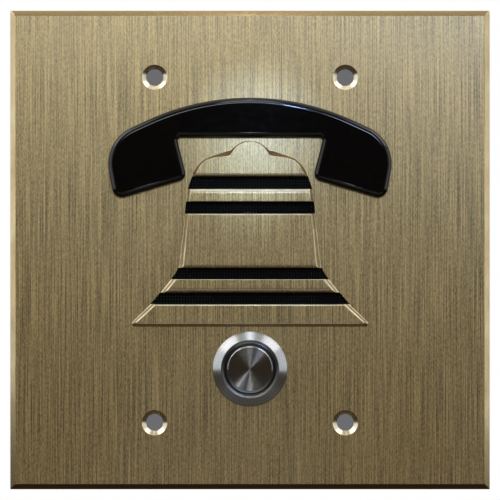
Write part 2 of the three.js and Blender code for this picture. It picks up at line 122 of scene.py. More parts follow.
# ---------------------------------------------------------------- outlines
# (x, z, corner radius), from the top centre down the right side
BELL_BASE = (
    (0, 28, 5.4), (4.6, 24.2, 2.6), (12.6, 21.5, 6), (14.95, 14.6, 10), (16.1, 4.5, 0), (17.2, -4.9, 6),
    (23.4, -12.6, 25), (28.7, -17.7, 0.5), (28.2, -18.5, 0.4),
)
BELL_FACE = (
    (0, 30.4, 4.8), (4.85, 22.7, 0.3), (11, 22, 4.6), (14.3, 16.2, 8), (15.2, 5, 0), (16, -4.8, 7),
    (22.4, -12.9, 25), (27.3, -17.3, 0.45), (27.1, -17.9, 0.3),
)
BELL_POCKET = (
    (0, 25.4, 3.6), (3.9, 22.4, 2.4), (11, 19.8, 4.6), (13.3, 14.2, 8), (15.5, -5.4, 7), (21.6, -13.2, 22),
    (25, -16.7, 0.6),
)
HANDSET = ((0, 42.75, 59), (35.3, 26.4, 9.5), (32.7, 12, 2.4), (15.15, 17.2, 1.9), (17.6, 27.1, 0.8))

# Bell flank: how far across from the foot to the face, and how far up. It overshoots the face to roll over.
FLANK = ((0, 0), (0.08, 0.03), (0.22, 0.14), (0.45, 0.42), (0.64, 0.67), (0.8, 0.83), (0.96, 0.93),
         (1.16, 0.98), (1.4, 1))

# Slots: top z, bottom z, then (height, depth) of the round over the slot and of the round under it
GRILLE_SLOTS = (
    (17.75, 14.7, (0.75, 0.45), (1.1, 0.38)),
    (11.7, 8.8, (0.12, 0.12), (0.42, 0.4)),
    (-4.3, -7.05, (0.8, 0.5), (0.2, 0.2)),
    (-10.25, -13.05, (1.15, 0.6), (0.45, 0.42)),
)


def mirrored(half):
    """A half outline closed by its mirror image."""
    return [*half, *((-x, z, radius) for x, z, radius in reversed(half) if x != 0)]


def rounded(corners, steps=8):
    """The counterclockwise points of a polygon whose corners are arcs."""
    points = []
    for i, (x, z, radius) in enumerate(corners):
        here = Vector((x, z))
        if radius == 0:
            points.append(here)
            continue
        back = (Vector(corners[i - 1][:2]) - here).normalized()
        ahead = (Vector(corners[(i + 1) % len(corners)][:2]) - here).normalized()
        half = back.angle(ahead) / 2
        centre = here + (back + ahead).normalized() * radius / math.sin(half)
        start = here + back * radius / math.tan(half) - centre
        end = here + ahead * radius / math.tan(half) - centre
        turn = math.copysign(math.pi - 2 * half, start.x * end.y - start.y * end.x)
        points += [centre + Matrix.Rotation(turn * k / steps, 2) @ start for k in range(steps + 1)]
    area = sum(a.x * b.y - b.x * a.y for a, b in zip(points, points[1:] + points[:1]))
    return points if area > 0 else points[::-1]


def rectangle(x0, x1, z0, z1, radius, steps):
    return rounded([(x1, z1, radius), (x0, z1, radius), (x0, z0, radius), (x1, z0, radius)], steps)


def regular(radius, x, z, sides):
    """A regular polygon's points, from +X round."""
    turns = [2 * math.pi * (i / sides) for i in range(sides)]
    return [Vector((x + radius * math.cos(turn), z + radius * math.sin(turn))) for turn in turns]


def inset(points, distance):
    """A fine outline moved inwards by a distance."""
    moved = []
    for i, here in enumerate(points):
        along = (points[(i + 1) % len(points)] - points[i - 1]).normalized()
        moved.append(here + Vector((-along.y, along.x)) * distance)
    return moved


# ---------------------------------------------------------------- solids
def linked(name, data):
    """A new object in the scene."""
    obj = bpy.data.objects.new(name, data)
    bpy.context.scene.collection.objects.link(obj)
    return obj


def mesh_object(name, vertices, faces):
    mesh = bpy.data.meshes.new(name)
    mesh.from_pydata([v * 0.001 for v in vertices], [], faces)
    mesh.validate()
    return linked(name, mesh)


def loft(name, levels):
    """A closed solid through outlines of equal length, each (points, y), the front one first."""
    count = len(levels[0][0])
    vertices = [Vector((p.x, y, p.y)) for points, y in levels for p in points]
    faces = []
    for level in range(len(levels) - 1):
        for i in range(count):
            a = level * count + i
            b = level * count + (i + 1) % count
            faces.append((a, a + count, b + count, b))
    last = (len(levels) - 1) * count
    faces.append(tuple(range(count)))
    faces.append(tuple(range(last + count - 1, last - 1, -1)))
    return mesh_object(name, vertices, faces)


def prism(name, points, front, back, edge=0.0):
    """An outline between two depths, with an optional small round along both rims."""
    if not edge:
        return loft(name, [(points, front), (points, back)])
    turns = [math.radians(angle) for angle in (0, 30, 60, 90)]
    near = [(inset(points, edge * (1 - math.sin(t))), front + edge * (1 - math.cos(t))) for t in turns]
    far = [(inset(points, edge * (1 - math.sin(t))), back - edge * (1 - math.cos(t)))
           for t in reversed(turns)]
    return loft(name, near + far)


def revolve(name, profile, x, z, steps):
    """A profile of (radius, y), front first, turned about a Y axis. It closes on itself or on the axis."""
    closed = profile[0][0] > 0 or profile[-1][0] > 0
    vertices, rings = [], []
    for radius, y in profile:
        if radius == 0:
            rings.append([len(vertices)] * steps)
            vertices.append(Vector((x, y, z)))
        else:
            rings.append([len(vertices) + i for i in range(steps)])
            vertices += [Vector((p.x, y, p.y)) for p in regular(radius, x, z, steps)]
    pairs = list(zip(rings, rings[1:])) + ([(rings[-1], rings[0])] if closed else [])
    faces = []
    for near, far in pairs:
        for i in range(steps):
            j = (i + 1) % steps
            face = []
            for corner in (near[i], far[i], far[j], near[j]):
                if corner not in face:
                    face.append(corner)
            if len(face) > 2:
                faces.append(tuple(face))
    return mesh_object(name, vertices, faces)


def quarter(centre_radius, centre_y, radius, first):
    """Profile points on a quarter circle. The first angle is in degrees, from the radial direction to +Y."""
    angles = [math.radians(first + 30 * k) for k in range(4)]
    return [(centre_radius + radius * math.cos(a), centre_y + radius * math.sin(a)) for a in angles]


def ring(name, inner, outer, front, back, x, z, edge, steps):
    """A ring with its four edges broken."""
    profile = [
        *quarter(outer - edge, front + edge, edge, -90), *quarter(outer - edge, back - edge, edge, 0),
        *quarter(inner + edge, back - edge, edge, 90), *quarter(inner + edge, front + edge, edge, 180),
    ]
    return revolve(name, profile, x, z, steps)


def block(name, low, high, edge=0.0):
    """A box between two corners, with its edges rounded."""
    low, high = Vector(low), Vector(high)
    mesh = bpy.data.meshes.new(name)
    shape = bmesh.new()
    bmesh.ops.create_cube(shape, size=1)
    size = high - low
    for vertex in shape.verts:
        vertex.co = (low + high) / 2 + Vector(c * s for c, s in zip(vertex.co, size))
    if edge:
        bmesh.ops.bevel(shape, geom=shape.edges[:], offset=edge, segments=2, affect="EDGES", profile=0.5)
    bmesh.ops.scale(shape, vec=(0.001,) * 3, verts=shape.verts)
    shape.to_mesh(mesh)
    shape.free()
    return linked(name, mesh)


def sweep(name, points, radius, sides, samples):
    """A round wire along a smooth curve through the points."""
    path = []
    for i in range(len(points) - 1):
        a, b, c, d = (Vector(points[max(0, min(len(points) - 1, i + k))]) for k in (-1, 0, 1, 2))
        for k in range(samples + (i == len(points) - 2)):
            t = k / samples
            path.append(0.5 * (2 * b + (c - a) * t + (2 * a - 5 * b + 4 * c - d) * t**2
                               + (3 * b - a - 3 * c + d) * t**3))
    side = None
    vertices, faces = [], []
    for i, here in enumerate(path):
        along = (path[min(i + 1, len(path) - 1)] - path[max(i - 1, 0)]).normalized()
        side = along.orthogonal() if side is None else side - along * side.dot(along)
        side.normalize()
        up = along.cross(side)
        for k in range(sides):
            turn = 2 * math.pi * k / sides
            vertices.append(here + radius * (math.cos(turn) * side + math.sin(turn) * up))
    for i in range(len(path) - 1):
        for k in range(sides):
            a, b = i * sides + k, i * sides + (k + 1) % sides
            faces.append((a, b, b + sides, a + sides))
    last = (len(path) - 1) * sides
    faces.append(tuple(range(sides - 1, -1, -1)))
    faces.append(tuple(range(last, last + sides)))
    return mesh_object(name, vertices, faces)


def carve(target, cutters, operation="DIFFERENCE"):
    """Exact booleans of the cutters on target, which are then removed."""
    for cutter in cutters:
        modifier = target.modifiers.new("carve", "BOOLEAN")
        modifier.operation = operation
        modifier.solver = "EXACT"
        modifier.object = cutter
    graph = bpy.context.evaluated_depsgraph_get()
    mesh = bpy.data.meshes.new_from_object(target.evaluated_get(graph))
    target.modifiers.clear()
    target.data = mesh
    for cutter in cutters:
        bpy.data.objects.remove(cutter, do_unlink=True)
    return target


def merged(name, objects):
    """One object made of several, each with the materials it had."""
    mesh = bpy.data.meshes.new(name)
    shape = bmesh.new()
    materials = []
    for obj in objects:
        first = len(shape.faces)
        shape.from_mesh(obj.data)
        own = [m for m in obj.data.materials if m]
        for m in own:
            if m not in materials:
                materials.append(m)
        shape.faces.ensure_lookup_table()
        for face in shape.faces[first:]:
            face.material_index = materials.index(own[face.material_index]) if own else 0
        bpy.data.objects.remove(obj, do_unlink=True)
    shape.to_mesh(mesh)
    shape.free()
    for m in materials:
        mesh.materials.append(m)
    return linked(name, mesh)


def turned(name, corners, x, z, steps, soft=0.08):
    """A turned solid. Each profile corner is (radius, y) with a small round, or (radius, y, own round)."""
    softened = [(*c, soft)[:3] if c[0] > 0 else (*c[:2], 0) for c in corners]
    return revolve(name, [tuple(p) for p in rounded(softened, 3)], x, z, steps)


def thread(radius, front, back, pitch=0.5):
    """Profile points of a screw thread: a saw edge from front to back."""
    depth = pitch * 0.54
    turns = max(1, int((back - front) / pitch))
    points = [(radius - depth, front)]
    for i in range(turns):
        points += [(radius, front + (i + 0.5) * pitch), (radius - depth, front + (i + 1) * pitch)]
    return points


def bar(name, section, x0, x1):
    """A closed (y, z) section, drawn out along X."""
    area = sum(a[0] * b[1] - b[0] * a[1] for a, b in zip(section, section[1:] + section[:1]))
    section = section if area > 0 else section[::-1]
    count = len(section)
    vertices = [Vector((x, y, z)) for x in (x0, x1) for y, z in section]
    faces = [(i, (i + 1) % count, (i + 1) % count + count, i + count) for i in range(count)]
    faces += [tuple(range(count - 1, -1, -1)), tuple(range(count, 2 * count))]
    return mesh_object(name, vertices, faces)


def spun(obj, x, z, degrees):
    """The mesh turned in the plane of the plate, about (x, z)."""
    centre = Matrix.Translation(mm(x, 0, z))
    obj.data.transform(centre @ Matrix.Rotation(math.radians(degrees), 4, "Y") @ centre.inverted())
    return obj


def cylinder(radius, front, back, x, z, steps=32):
    """A plain cutter."""
    return revolve("cutter", [(0, front), (radius, front), (radius, back), (0, back)], x, z, steps)


def hex_nut(name, across, front, back, x, z, bore):
    """A hexagon nut with flats up and down, chamfered corners and a countersunk bore."""
    corner = across / math.sqrt(3)
    flat = across * 0.475
    slope = (corner + 0.3 - flat) * math.tan(math.radians(28))
    nut = prism(name, regular(corner, x, z, 6), front, back)
    envelope = revolve("envelope", [
        (0, front), (flat, front), (corner + 0.3, front + slope), (corner + 0.3, back - slope), (flat, back),
        (0, back),
    ], x, z, 96)
    carve(nut, [envelope], "INTERSECT")
    sink = 0.35
    hole = revolve("bore", [
        (0, front - 1), (bore + sink + 1, front - 1), (bore, front + sink), (bore, back - sink),
        (bore + sink + 1, back + 1), (0, back + 1),
    ], x, z, 72)
    return carve(nut, [hole])


def strip(name, points, width, front, back):
    """A flat track of constant width along a line of (x, z) points."""
    line = [Vector(p) for p in points]
    left, right = [], []
    for i, here in enumerate(line):
        back_way = (here - line[i - 1]).normalized() if i else None
        on_way = (line[i + 1] - here).normalized() if i + 1 < len(line) else None
        along = ((back_way or on_way) + (on_way or back_way)).normalized()
        normal = Vector((-along.y, along.x))
        reach = width / 2 / max(0.5, normal.dot(Vector((-(on_way or back_way).y, (on_way or back_way).x))))
        left.append(here + normal * reach)
        right.append(here - normal * reach)
    return prism(name, right + left[::-1], front, back)


def cross(reach, half, x, z):
    """A plus-shaped outline."""
    quarter = [(reach, -half), (reach, half), (half, half)]
    points = []
    for k in range(4):
        turn = Matrix.Rotation(math.radians(90 * k), 2)
        points += [Vector((x, z)) + turn @ Vector(p) for p in quarter]
    return points


def painted(obj, finish):
    obj.data.materials.clear()
    obj.data.materials.append(finish)
    return obj


def repaint(obj, finish, test):
    """Gives the faces whose middle, in millimetres, and normal pass the test another material."""
    obj.data.materials.append(finish)
    index = len(obj.data.materials) - 1
    for face in obj.data.polygons:
        if test(face.center * 1000, face.normal):
            face.material_index = index
    return obj


def place(obj, *nodes, crease=38):
    """Smooth shading up to the crease angle. The piece stands for the CAD nodes and rides on their body."""
    obj.data.polygons.foreach_set("use_smooth", [True] * len(obj.data.polygons))
    obj.data.set_sharp_from_angle(angle=math.radians(crease))
    weighted = obj.modifiers.new("weighted_normals", "WEIGHTED_NORMAL")
    weighted.keep_sharp = True
    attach(obj, BODY_OF[nodes[0]])
    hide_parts(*nodes)
    return obj


# ---------------------------------------------------------------- materials
BRASS_TONE = (0.5, 0.35, 0.14)


class Finish:
    """A procedural material on object coordinates, which are the frame's metres."""

    def __init__(self, name, color, roughness, metallic=0.0, coat=0.0, anisotropic=0.0):
        self.material = bpy.data.materials.new(name)
        self.material.use_nodes = True
        self.tree = self.material.node_tree
        self.shader = self.tree.nodes["Principled BSDF"]
        self.set("Base Color", (*color, 1))
        self.set("Roughness", roughness)
        self.set("Metallic", metallic)
        self.set("Coat Weight", coat)
        self.set("Coat Roughness", 0.12)
        self.set("Anisotropic", anisotropic)
        self.material.diffuse_color = (*color, 1)
        self.coordinates = self.tree.nodes.new("ShaderNodeTexCoord").outputs["Object"]

    def set(self, socket, value):
        self.shader.inputs[socket].default_value = value

    def link(self, output, target):
        self.tree.links.new(output, target)

    def mapped(self, stretch):
        mapping = self.tree.nodes.new("ShaderNodeMapping")
        mapping.inputs["Scale"].default_value = stretch
        self.link(self.coordinates, mapping.inputs["Vector"])
        return mapping.outputs["Vector"]

    def noise(self, size, detail, stretch=(1, 1, 1), seed=0.0):
        """Noise whose grain is about size millimetres, drawn out by the stretch."""
        node = self.tree.nodes.new("ShaderNodeTexNoise")
        node.noise_dimensions = "4D"
        node.inputs["W"].default_value = seed
        node.inputs["Scale"].default_value = 1000 / size
        node.inputs["Detail"].default_value = detail
        self.link(self.mapped([1 / s for s in stretch]), node.inputs["Vector"])
        return node.outputs["Fac"]

    def cells(self, size):
        node = self.tree.nodes.new("ShaderNodeTexVoronoi")
        node.inputs["Scale"].default_value = 1000 / size
        self.link(self.coordinates, node.inputs["Vector"])
        return node.outputs["Distance"]

    def bands(self, size, direction):
        node = self.tree.nodes.new("ShaderNodeTexWave")
        node.bands_direction = direction
        node.inputs["Scale"].default_value = 314 / size
        self.link(self.coordinates, node.inputs["Vector"])
        return node.outputs["Fac"]

    def axis_distance(self, x, z):
        """Distance in metres from the Y axis through (x, z): the coordinates are flattened along Y."""
        node = self.tree.nodes.new("ShaderNodeVectorMath")
        node.operation = "DISTANCE"
        self.link(self.mapped((1, 1e-6, 1)), node.inputs[0])
        node.inputs[1].default_value = mm(x, 0, z)
        return node.outputs["Value"]

    def ranged(self, value, low, high, to_low=0.0, to_high=1.0):
        node = self.tree.nodes.new("ShaderNodeMapRange")
        for socket, number in zip(("From Min", "From Max", "To Min", "To Max"), (low, high, to_low, to_high)):
            node.inputs[socket].default_value = number
        self.link(value, node.inputs["Value"])
        return node.outputs["Result"]

    def feed(self, socket, value):
        """Gives a socket another node's output, a number or a colour."""
        if isinstance(value, bpy.types.NodeSocket):
            self.link(value, socket)
        elif isinstance(value, (int, float)):
            socket.default_value = value
        else:
            socket.default_value = (*value, 1)

    def mix(self, factor, a, b, blend="MIX"):
        """Colour a to colour b by the factor. The colour sockets of the node are its seventh and eighth."""
        node = self.tree.nodes.new("ShaderNodeMix")
        node.data_type = "RGBA"
        node.blend_type = blend
        for index, value in ((0, factor), (6, a), (7, b)):
            self.feed(node.inputs[index], value)
        return node.outputs[2]

    def math(self, operation, a, b):
        node = self.tree.nodes.new("ShaderNodeMath")
        node.operation = operation
        self.feed(node.inputs[0], a)
        self.feed(node.inputs[1], b)
        return node.outputs[0]

    def weave(self, size):
        """Crossed threads, a size apart."""
        return self.math("MULTIPLY", self.bands(size, "X"), self.bands(size, "Z"))

    def color(self, output):
        self.link(output, self.shader.inputs["Base Color"])

    def two_tone(self, value, low, high, first, second):
        """The base colour goes from the first to the second as the value goes from low to high."""
        self.color(self.mix(self.ranged(value, low, high), first, second))

    def roughness(self, factor, low, high):
        self.link(self.ranged(factor, 0.3, 0.7, low, high), self.shader.inputs["Roughness"])

    def bump(self, height, depth, strength):
        """Fine relief of about depth millimetres."""
        node = self.tree.nodes.new("ShaderNodeBump")
        node.inputs["Distance"].default_value = depth * 0.001
        node.inputs["Strength"].default_value = strength
        self.link(height, node.inputs["Height"])
        self.link(node.outputs["Normal"], self.shader.inputs["Normal"])
        return self

    def grain_across(self, direction):
        """The direction in which the brushing spreads a highlight."""
        node = self.tree.nodes.new("ShaderNodeCombineXYZ")
        for socket, value in zip(node.inputs, direction):
            socket.default_value = value
        self.link(node.outputs[0], self.shader.inputs["Tangent"])
        return self

    def turned_grain(self):
        """Brushing in circles about the Y axis through the middle of the piece."""
        self.set("Anisotropic Rotation", 0.25)
        node = self.tree.nodes.new("ShaderNodeTangent")
        node.direction_type = "RADIAL"
        node.axis = "Y"
        self.link(node.outputs[0], self.shader.inputs["Tangent"])
        return self


def brushed_brass():
    """Lacquered antique brass, brushed up and down: long hairlines with short flecks between them."""
    finish = Finish("brushed_brass", BRASS_TONE, 0.42, metallic=1.0, coat=1.0, anisotropic=0.5)
    finish.set("Coat Roughness", 0.25)
    hairlines = finish.noise(0.22, stretch=(1, 1, 110), detail=1.5)
    flecks = finish.noise(0.2, stretch=(1, 1, 3.6), detail=1.5, seed=3.1)
    cloud = finish.noise(38, detail=1, seed=7.7)
    tinted = finish.mix(finish.ranged(cloud, 0.35, 0.65, 0, 0.3), BRASS_TONE, (0.46, 0.345, 0.165))
    grain = finish.math("ADD", finish.math("MULTIPLY", hairlines, 0.6), finish.math("MULTIPLY", flecks, 0.4))
    level = finish.ranged(grain, 0.36, 0.64, 0.4, 1.6)
    shade = finish.tree.nodes.new("ShaderNodeCombineColor")
    for socket in shade.inputs[:3]:
        finish.link(level, socket)
    finish.color(finish.mix(1.0, tinted, shade.outputs[0], "MULTIPLY"))
    finish.roughness(grain, 0.39, 0.46)
    finish.bump(grain, 0.008, 0.4)
    return finish.grain_across((1, 0, 0)).material


def machined_brass():
    """The plate's milled bevels and countersinks, smoother and a little paler than the brushed face."""
    finish = Finish("machined_brass", (0.52, 0.38, 0.18), 0.22, metallic=1.0, coat=0.6)
    wear = finish.noise(2.4, stretch=(3, 1, 3), detail=3)
    specks = finish.noise(0.3, detail=2, seed=2)
    finish.two_tone(wear, 0.35, 0.7, (0.57, 0.43, 0.22), (0.44, 0.31, 0.14))
    finish.roughness(wear, 0.18, 0.26)
    return finish.bump(specks, 0.005, 0.3).material


def plain_metal(name, color, roughness, anisotropic=0.0, turned=False):
    """A metal with a fine uneven surface."""
    finish = Finish(name, color, roughness, metallic=1.0, anisotropic=anisotropic)
    patches = finish.noise(3.5, detail=3)
    specks = finish.noise(0.2, detail=2, seed=1.3)
    dark = [c * 0.72 for c in color]
    finish.two_tone(patches, 0.35, 0.7, color, dark)
    finish.roughness(patches, roughness * 0.8, roughness * 1.25)
    finish.bump(specks, 0.006, 0.5)
    return finish.turned_grain().material if turned else finish.material


def turned_steel(name, tone, roughness, anisotropic):
    """Stainless steel faced in a lathe: fine circles that draw a highlight out into spokes."""
    finish = Finish(name, (tone,) * 3, roughness, metallic=1.0, anisotropic=anisotropic)
    centre = Box("button_cap")
    radius = finish.axis_distance(centre.x, centre.z)
    rings = finish.tree.nodes.new("ShaderNodeTexNoise")
    rings.noise_dimensions = "1D"
    rings.inputs["Scale"].default_value = 9000
    rings.inputs["Detail"].default_value = 2
    finish.link(radius, rings.inputs["W"])
    circles = rings.outputs["Fac"]
    pale, dark = (tone * 1.08, tone * 1.08, tone * 1.06), (tone * 0.84, tone * 0.83, tone * 0.8)
    finish.two_tone(circles, 0.35, 0.65, pale, dark)
    finish.roughness(circles, roughness * 0.85, roughness * 1.2)
    finish.bump(circles, 0.004, 0.4)
    return finish.turned_grain().material


def moulded(name, color, roughness, grain=0.25, relief=0.008, specular=0.5):
    """A moulded plastic or rubber with a fine texture and slightly uneven colour."""
    finish = Finish(name, color, roughness)
    finish.set("Specular IOR Level", specular)
    cloud = finish.noise(6, detail=2)
    specks = finish.noise(grain, detail=3, seed=2.2)
    lighter = [min(1, c * 1.35 + 0.002) for c in color]
    finish.two_tone(cloud, 0.3, 0.7, color, lighter)
    finish.roughness(cloud, roughness * 0.88, min(1, roughness * 1.12))
    return finish.bump(specks, relief, 0.6).material


def gloss_black():
    """Polished black moulding with a very faint ripple and a few dull spots."""
    finish = Finish("gloss_black", (0.0015, 0.0015, 0.0018), 0.05)
    ripple = finish.noise(7, detail=1)
    dull = finish.noise(1.3, detail=4, seed=4)
    finish.two_tone(dull, 0.55, 0.75, (0.0012, 0.0012, 0.0014), (0.0025, 0.0022, 0.002))
    finish.roughness(dull, 0.04, 0.07)
    return finish.bump(ripple, 0.02, 0.12).material


def foam():
    finish = Finish("closed_cell_foam", (0.028, 0.028, 0.03), 0.95)
    cells = finish.cells(0.45)
    finish.two_tone(cells, 0.1, 0.6, (0.016, 0.016, 0.017), (0.05, 0.05, 0.052))
    return finish.bump(cells, 0.12, 0.8).material


def pressed_paper():
    """Fibrous black paper pulp."""
    finish = Finish("pressed_paper", (0.026, 0.024, 0.022), 0.92)
    fibres = finish.noise(0.5, stretch=(1, 3, 1), detail=5)
    finish.two_tone(fibres, 0.35, 0.7, (0.018, 0.017, 0.016), (0.062, 0.058, 0.052))
    return finish.bump(fibres, 0.05, 0.8).material


def varnished_cloth():
    """The spider's resin-dipped cloth, with its weave."""
    finish = Finish("varnished_cloth", (0.42, 0.25, 0.09), 0.6)
    weave = finish.weave(0.7)
    finish.color(finish.mix(weave, (0.28, 0.15, 0.05), (0.5, 0.31, 0.12)))
    return finish.bump(weave, 0.05, 0.7).material


def ferrite():
    finish = Finish("ferrite", (0.055, 0.055, 0.06), 0.5, metallic=0.2)
    grains = finish.noise(0.35, detail=5)
    finish.two_tone(grains, 0.3, 0.75, (0.035, 0.035, 0.038), (0.11, 0.11, 0.115))
    finish.roughness(grains, 0.4, 0.65)
    return finish.bump(grains, 0.02, 0.5).material


def solder_mask(name, color):
    """Green lacquer over glass cloth, whose weave shows faintly."""
    finish = Finish(name, color, 0.32, coat=0.3)
    weave = finish.weave(0.5)
    cloud = finish.noise(14, detail=2)
    darker = [c * 0.7 for c in color]
    base = finish.mix(finish.ranged(cloud, 0.3, 0.7), color, darker)
    finish.color(finish.mix(finish.ranged(weave, 0, 1, 0, 0.35), base, [c * 1.5 for c in color]))
    finish.roughness(cloud, 0.27, 0.4)
    return finish.bump(weave, 0.008, 0.5).material


def laminations():
    """Stacked steel sheets with dark varnish between them."""
    finish = Finish("core_laminations", (0.2, 0.2, 0.2), 0.45, metallic=0.85)
    sheets = finish.bands(0.5, "Y")
    rust = finish.noise(2.5, detail=4)
    steel = finish.mix(finish.ranged(rust, 0.4, 0.75), (0.3, 0.3, 0.31), (0.17, 0.13, 0.1))
    finish.two_tone(sheets, 0.05, 0.4, (0.03, 0.028, 0.026), steel)
    return finish.bump(sheets, 0.05, 0.7).material


def winding_tape():
    finish = Finish("winding_tape", (0.62, 0.44, 0.07), 0.38, coat=0.2)
    wrap = finish.bands(2.2, "Z")
    finish.two_tone(wrap, 0.0, 0.25, (0.38, 0.25, 0.03), (0.66, 0.48, 0.09))
    return finish.bump(wrap, 0.05, 0.5).material


def cast_brass():
    """The unbrushed back of the casting: dull, grained and a little stained."""
    finish = Finish("cast_brass", (0.34, 0.25, 0.11), 0.55, metallic=0.9)
    stain = finish.noise(11, detail=4)
    grain = finish.noise(0.5, detail=4, seed=5)
    finish.two_tone(stain, 0.35, 0.7, (0.40, 0.30, 0.14), (0.2, 0.145, 0.07))
    finish.roughness(grain, 0.45, 0.7)
    return finish.bump(grain, 0.05, 0.7).material


BRASS = brushed_brass()
MACHINED_BRASS = machined_brass()
# Paler brass for the bell's rounds that face up or sideways: patina rubbed thin, and a painted highlight.
RUBBED_AND_HIGHLIT_BRASS = plain_metal("rubbed_and_highlit_brass", (0.7, 0.63, 0.46), 0.34)
CUT_BRASS = plain_metal("cut_brass", (0.84, 0.72, 0.5), 0.24)
CAST_BRASS = cast_brass()
RAW_STEEL = plain_metal("zinc_plate", (0.62, 0.63, 0.6), 0.36)
NUT_STEEL = plain_metal("turned_zinc", (0.58, 0.58, 0.55), 0.33, anisotropic=0.5, turned=True)
BEZEL_STEEL = turned_steel("bezel_steel", 0.6, 0.3, 0.82)
# Darker steel for the bezel's inner chamfer round the cap: painted shade.
SHADED_RECESS_STEEL = turned_steel("shaded_recess_steel", 0.2, 0.3, 0.6)
CAP_STEEL = turned_steel("cap_steel", 0.55, 0.115, 0.98)
SOLDER = plain_metal("solder", (0.6, 0.6, 0.6), 0.28)
TINNED = plain_metal("tinned", (0.7, 0.7, 0.69), 0.25)
BRASS_STRIP = plain_metal("brass_strip", (0.72, 0.56, 0.26), 0.3)
COPPER = plain_metal("copper_alloy", (0.74, 0.4, 0.2), 0.3)
PAD_COPPER = plain_metal("tinned_pads", (0.66, 0.64, 0.58), 0.35)
CANNED = plain_metal("aluminium_can", (0.72, 0.73, 0.74), 0.3)
GLOSS_BLACK = gloss_black()
BLACK_PLASTIC = moulded("black_nylon", (0.014, 0.014, 0.015), 0.5)
CHIP_BLACK = moulded("chip_epoxy", (0.018, 0.018, 0.019), 0.62, grain=0.12)
MESH_BLACK = moulded("mesh_lacquer", (0.003, 0.003, 0.003), 0.7, specular=0.15)
RUBBER = moulded("black_rubber", (0.014, 0.014, 0.014), 0.8, grain=0.4)
SURROUND_RUBBER = moulded("surround_rubber", (0.018, 0.018, 0.018), 0.62, grain=0.3)
FOAM = foam()
PAPER = pressed_paper()
CLOTH = varnished_cloth()
FERRITE = ferrite()
BOARD_GREEN = solder_mask("board_green", (0.012, 0.13, 0.045))
BOARD_EDGE = moulded("glass_fibre_edge", (0.28, 0.26, 0.12), 0.6)
FELT = moulded("black_felt", (0.01, 0.01, 0.01), 0.95, grain=0.15, relief=0.03)
TRACE_GREEN = solder_mask("trace_green", (0.03, 0.24, 0.08))
TERMINAL_GREEN = moulded("terminal_green", (0.02, 0.28, 0.085), 0.42)
STRIP_BROWN = moulded("phenolic_brown", (0.16, 0.07, 0.022), 0.5)
SLEEVE = moulded("capacitor_sleeve", (0.012, 0.016, 0.05), 0.35)
STRIPE = moulded("capacitor_stripe", (0.5, 0.5, 0.5), 0.4)
CORE = laminations()
TAPE = winding_tape()
TRIMMER_BLUE = moulded("trimmer_blue", (0.02, 0.09, 0.42), 0.4)
ROTOR_WHITE = moulded("rotor_white", (0.72, 0.71, 0.66), 0.45)
LEAD_RED = moulded("lead_red", (0.42, 0.015, 0.012), 0.4)
LEAD_BLACK = moulded("lead_black", (0.012, 0.012, 0.013), 0.4)
LEAD_WHITE = moulded("lead_white", (0.66, 0.65, 0.6), 0.45)


# ---------------------------------------------------------------- the plate
SLOT_REACH = 1.01
SCREW_X = 23.02
SCREW_Z = 41.67
SCREW_PLACES = [(x, z) for x in (-SCREW_X, SCREW_X) for z in (-SCREW_Z, SCREW_Z)]
SCREW_SINK = 3.05
SCREW_HOLE = 2.05
SINK_DEPTH = 0.82
PEG_HOLE = 1.7
STUD_HOLE = 1.6
STANDOFF_HOLE = 1.95
BUTTON_HOLE = 8.15


def ellipse_corner(z, height, depth, side):
    """(y, z) points of the round between a slot's wall at z and the face. Side 1 is over it, -1 under it."""
    turns = [math.radians(15 * k) for k in range(7)]
    return [(RELIEF_FRONT + depth * (1 - math.cos(t)), z + side * height * (1 - math.sin(t))) for t in turns]


def slot_cutter(top, bottom, over, under, limit):
    upper = ellipse_corner(top, *over, 1)
    lower = ellipse_corner(bottom, *under, -1)
    section = [(RELIEF_FRONT - 1, upper[0][1]), *upper, (1, top), (1, bottom), *reversed(lower),
               (RELIEF_FRONT - 1, lower[0][1])]
    return carve(bar("slot", section, -40, 40), [limit()], "INTERSECT")


def milled(centre, normal):
    """Whether a face of the plate belongs to its edge bevels or to a countersink."""
    outside = max(abs(centre.x) / (PLATE.x1 - EDGE_BEVEL), abs(centre.z) / (PLATE.z1 - EDGE_BEVEL)) > 1.001
    sunk = math.hypot(abs(centre.x) - SCREW_X, abs(centre.z) - SCREW_Z) < SCREW_SINK + 0.1
    return outside or (sunk and abs(normal.y) < 0.98)


def rubbed_and_highlit(centre, normal):
    """Whether a face is on the bell's edge rounds that don't face down: worn patina and a painted highlight.
    """
    raised = centre.y < PLATE_FRONT - 0.01 and normal.z > -0.25 and -0.985 < normal.y < 0.1
    return raised and (normal.y < -0.72 or centre.z < -5 or abs(normal.x) < 0.05)


def countersunk(centre, normal):
    return milled(centre, normal) and max(abs(centre.x), abs(centre.z)) < 50


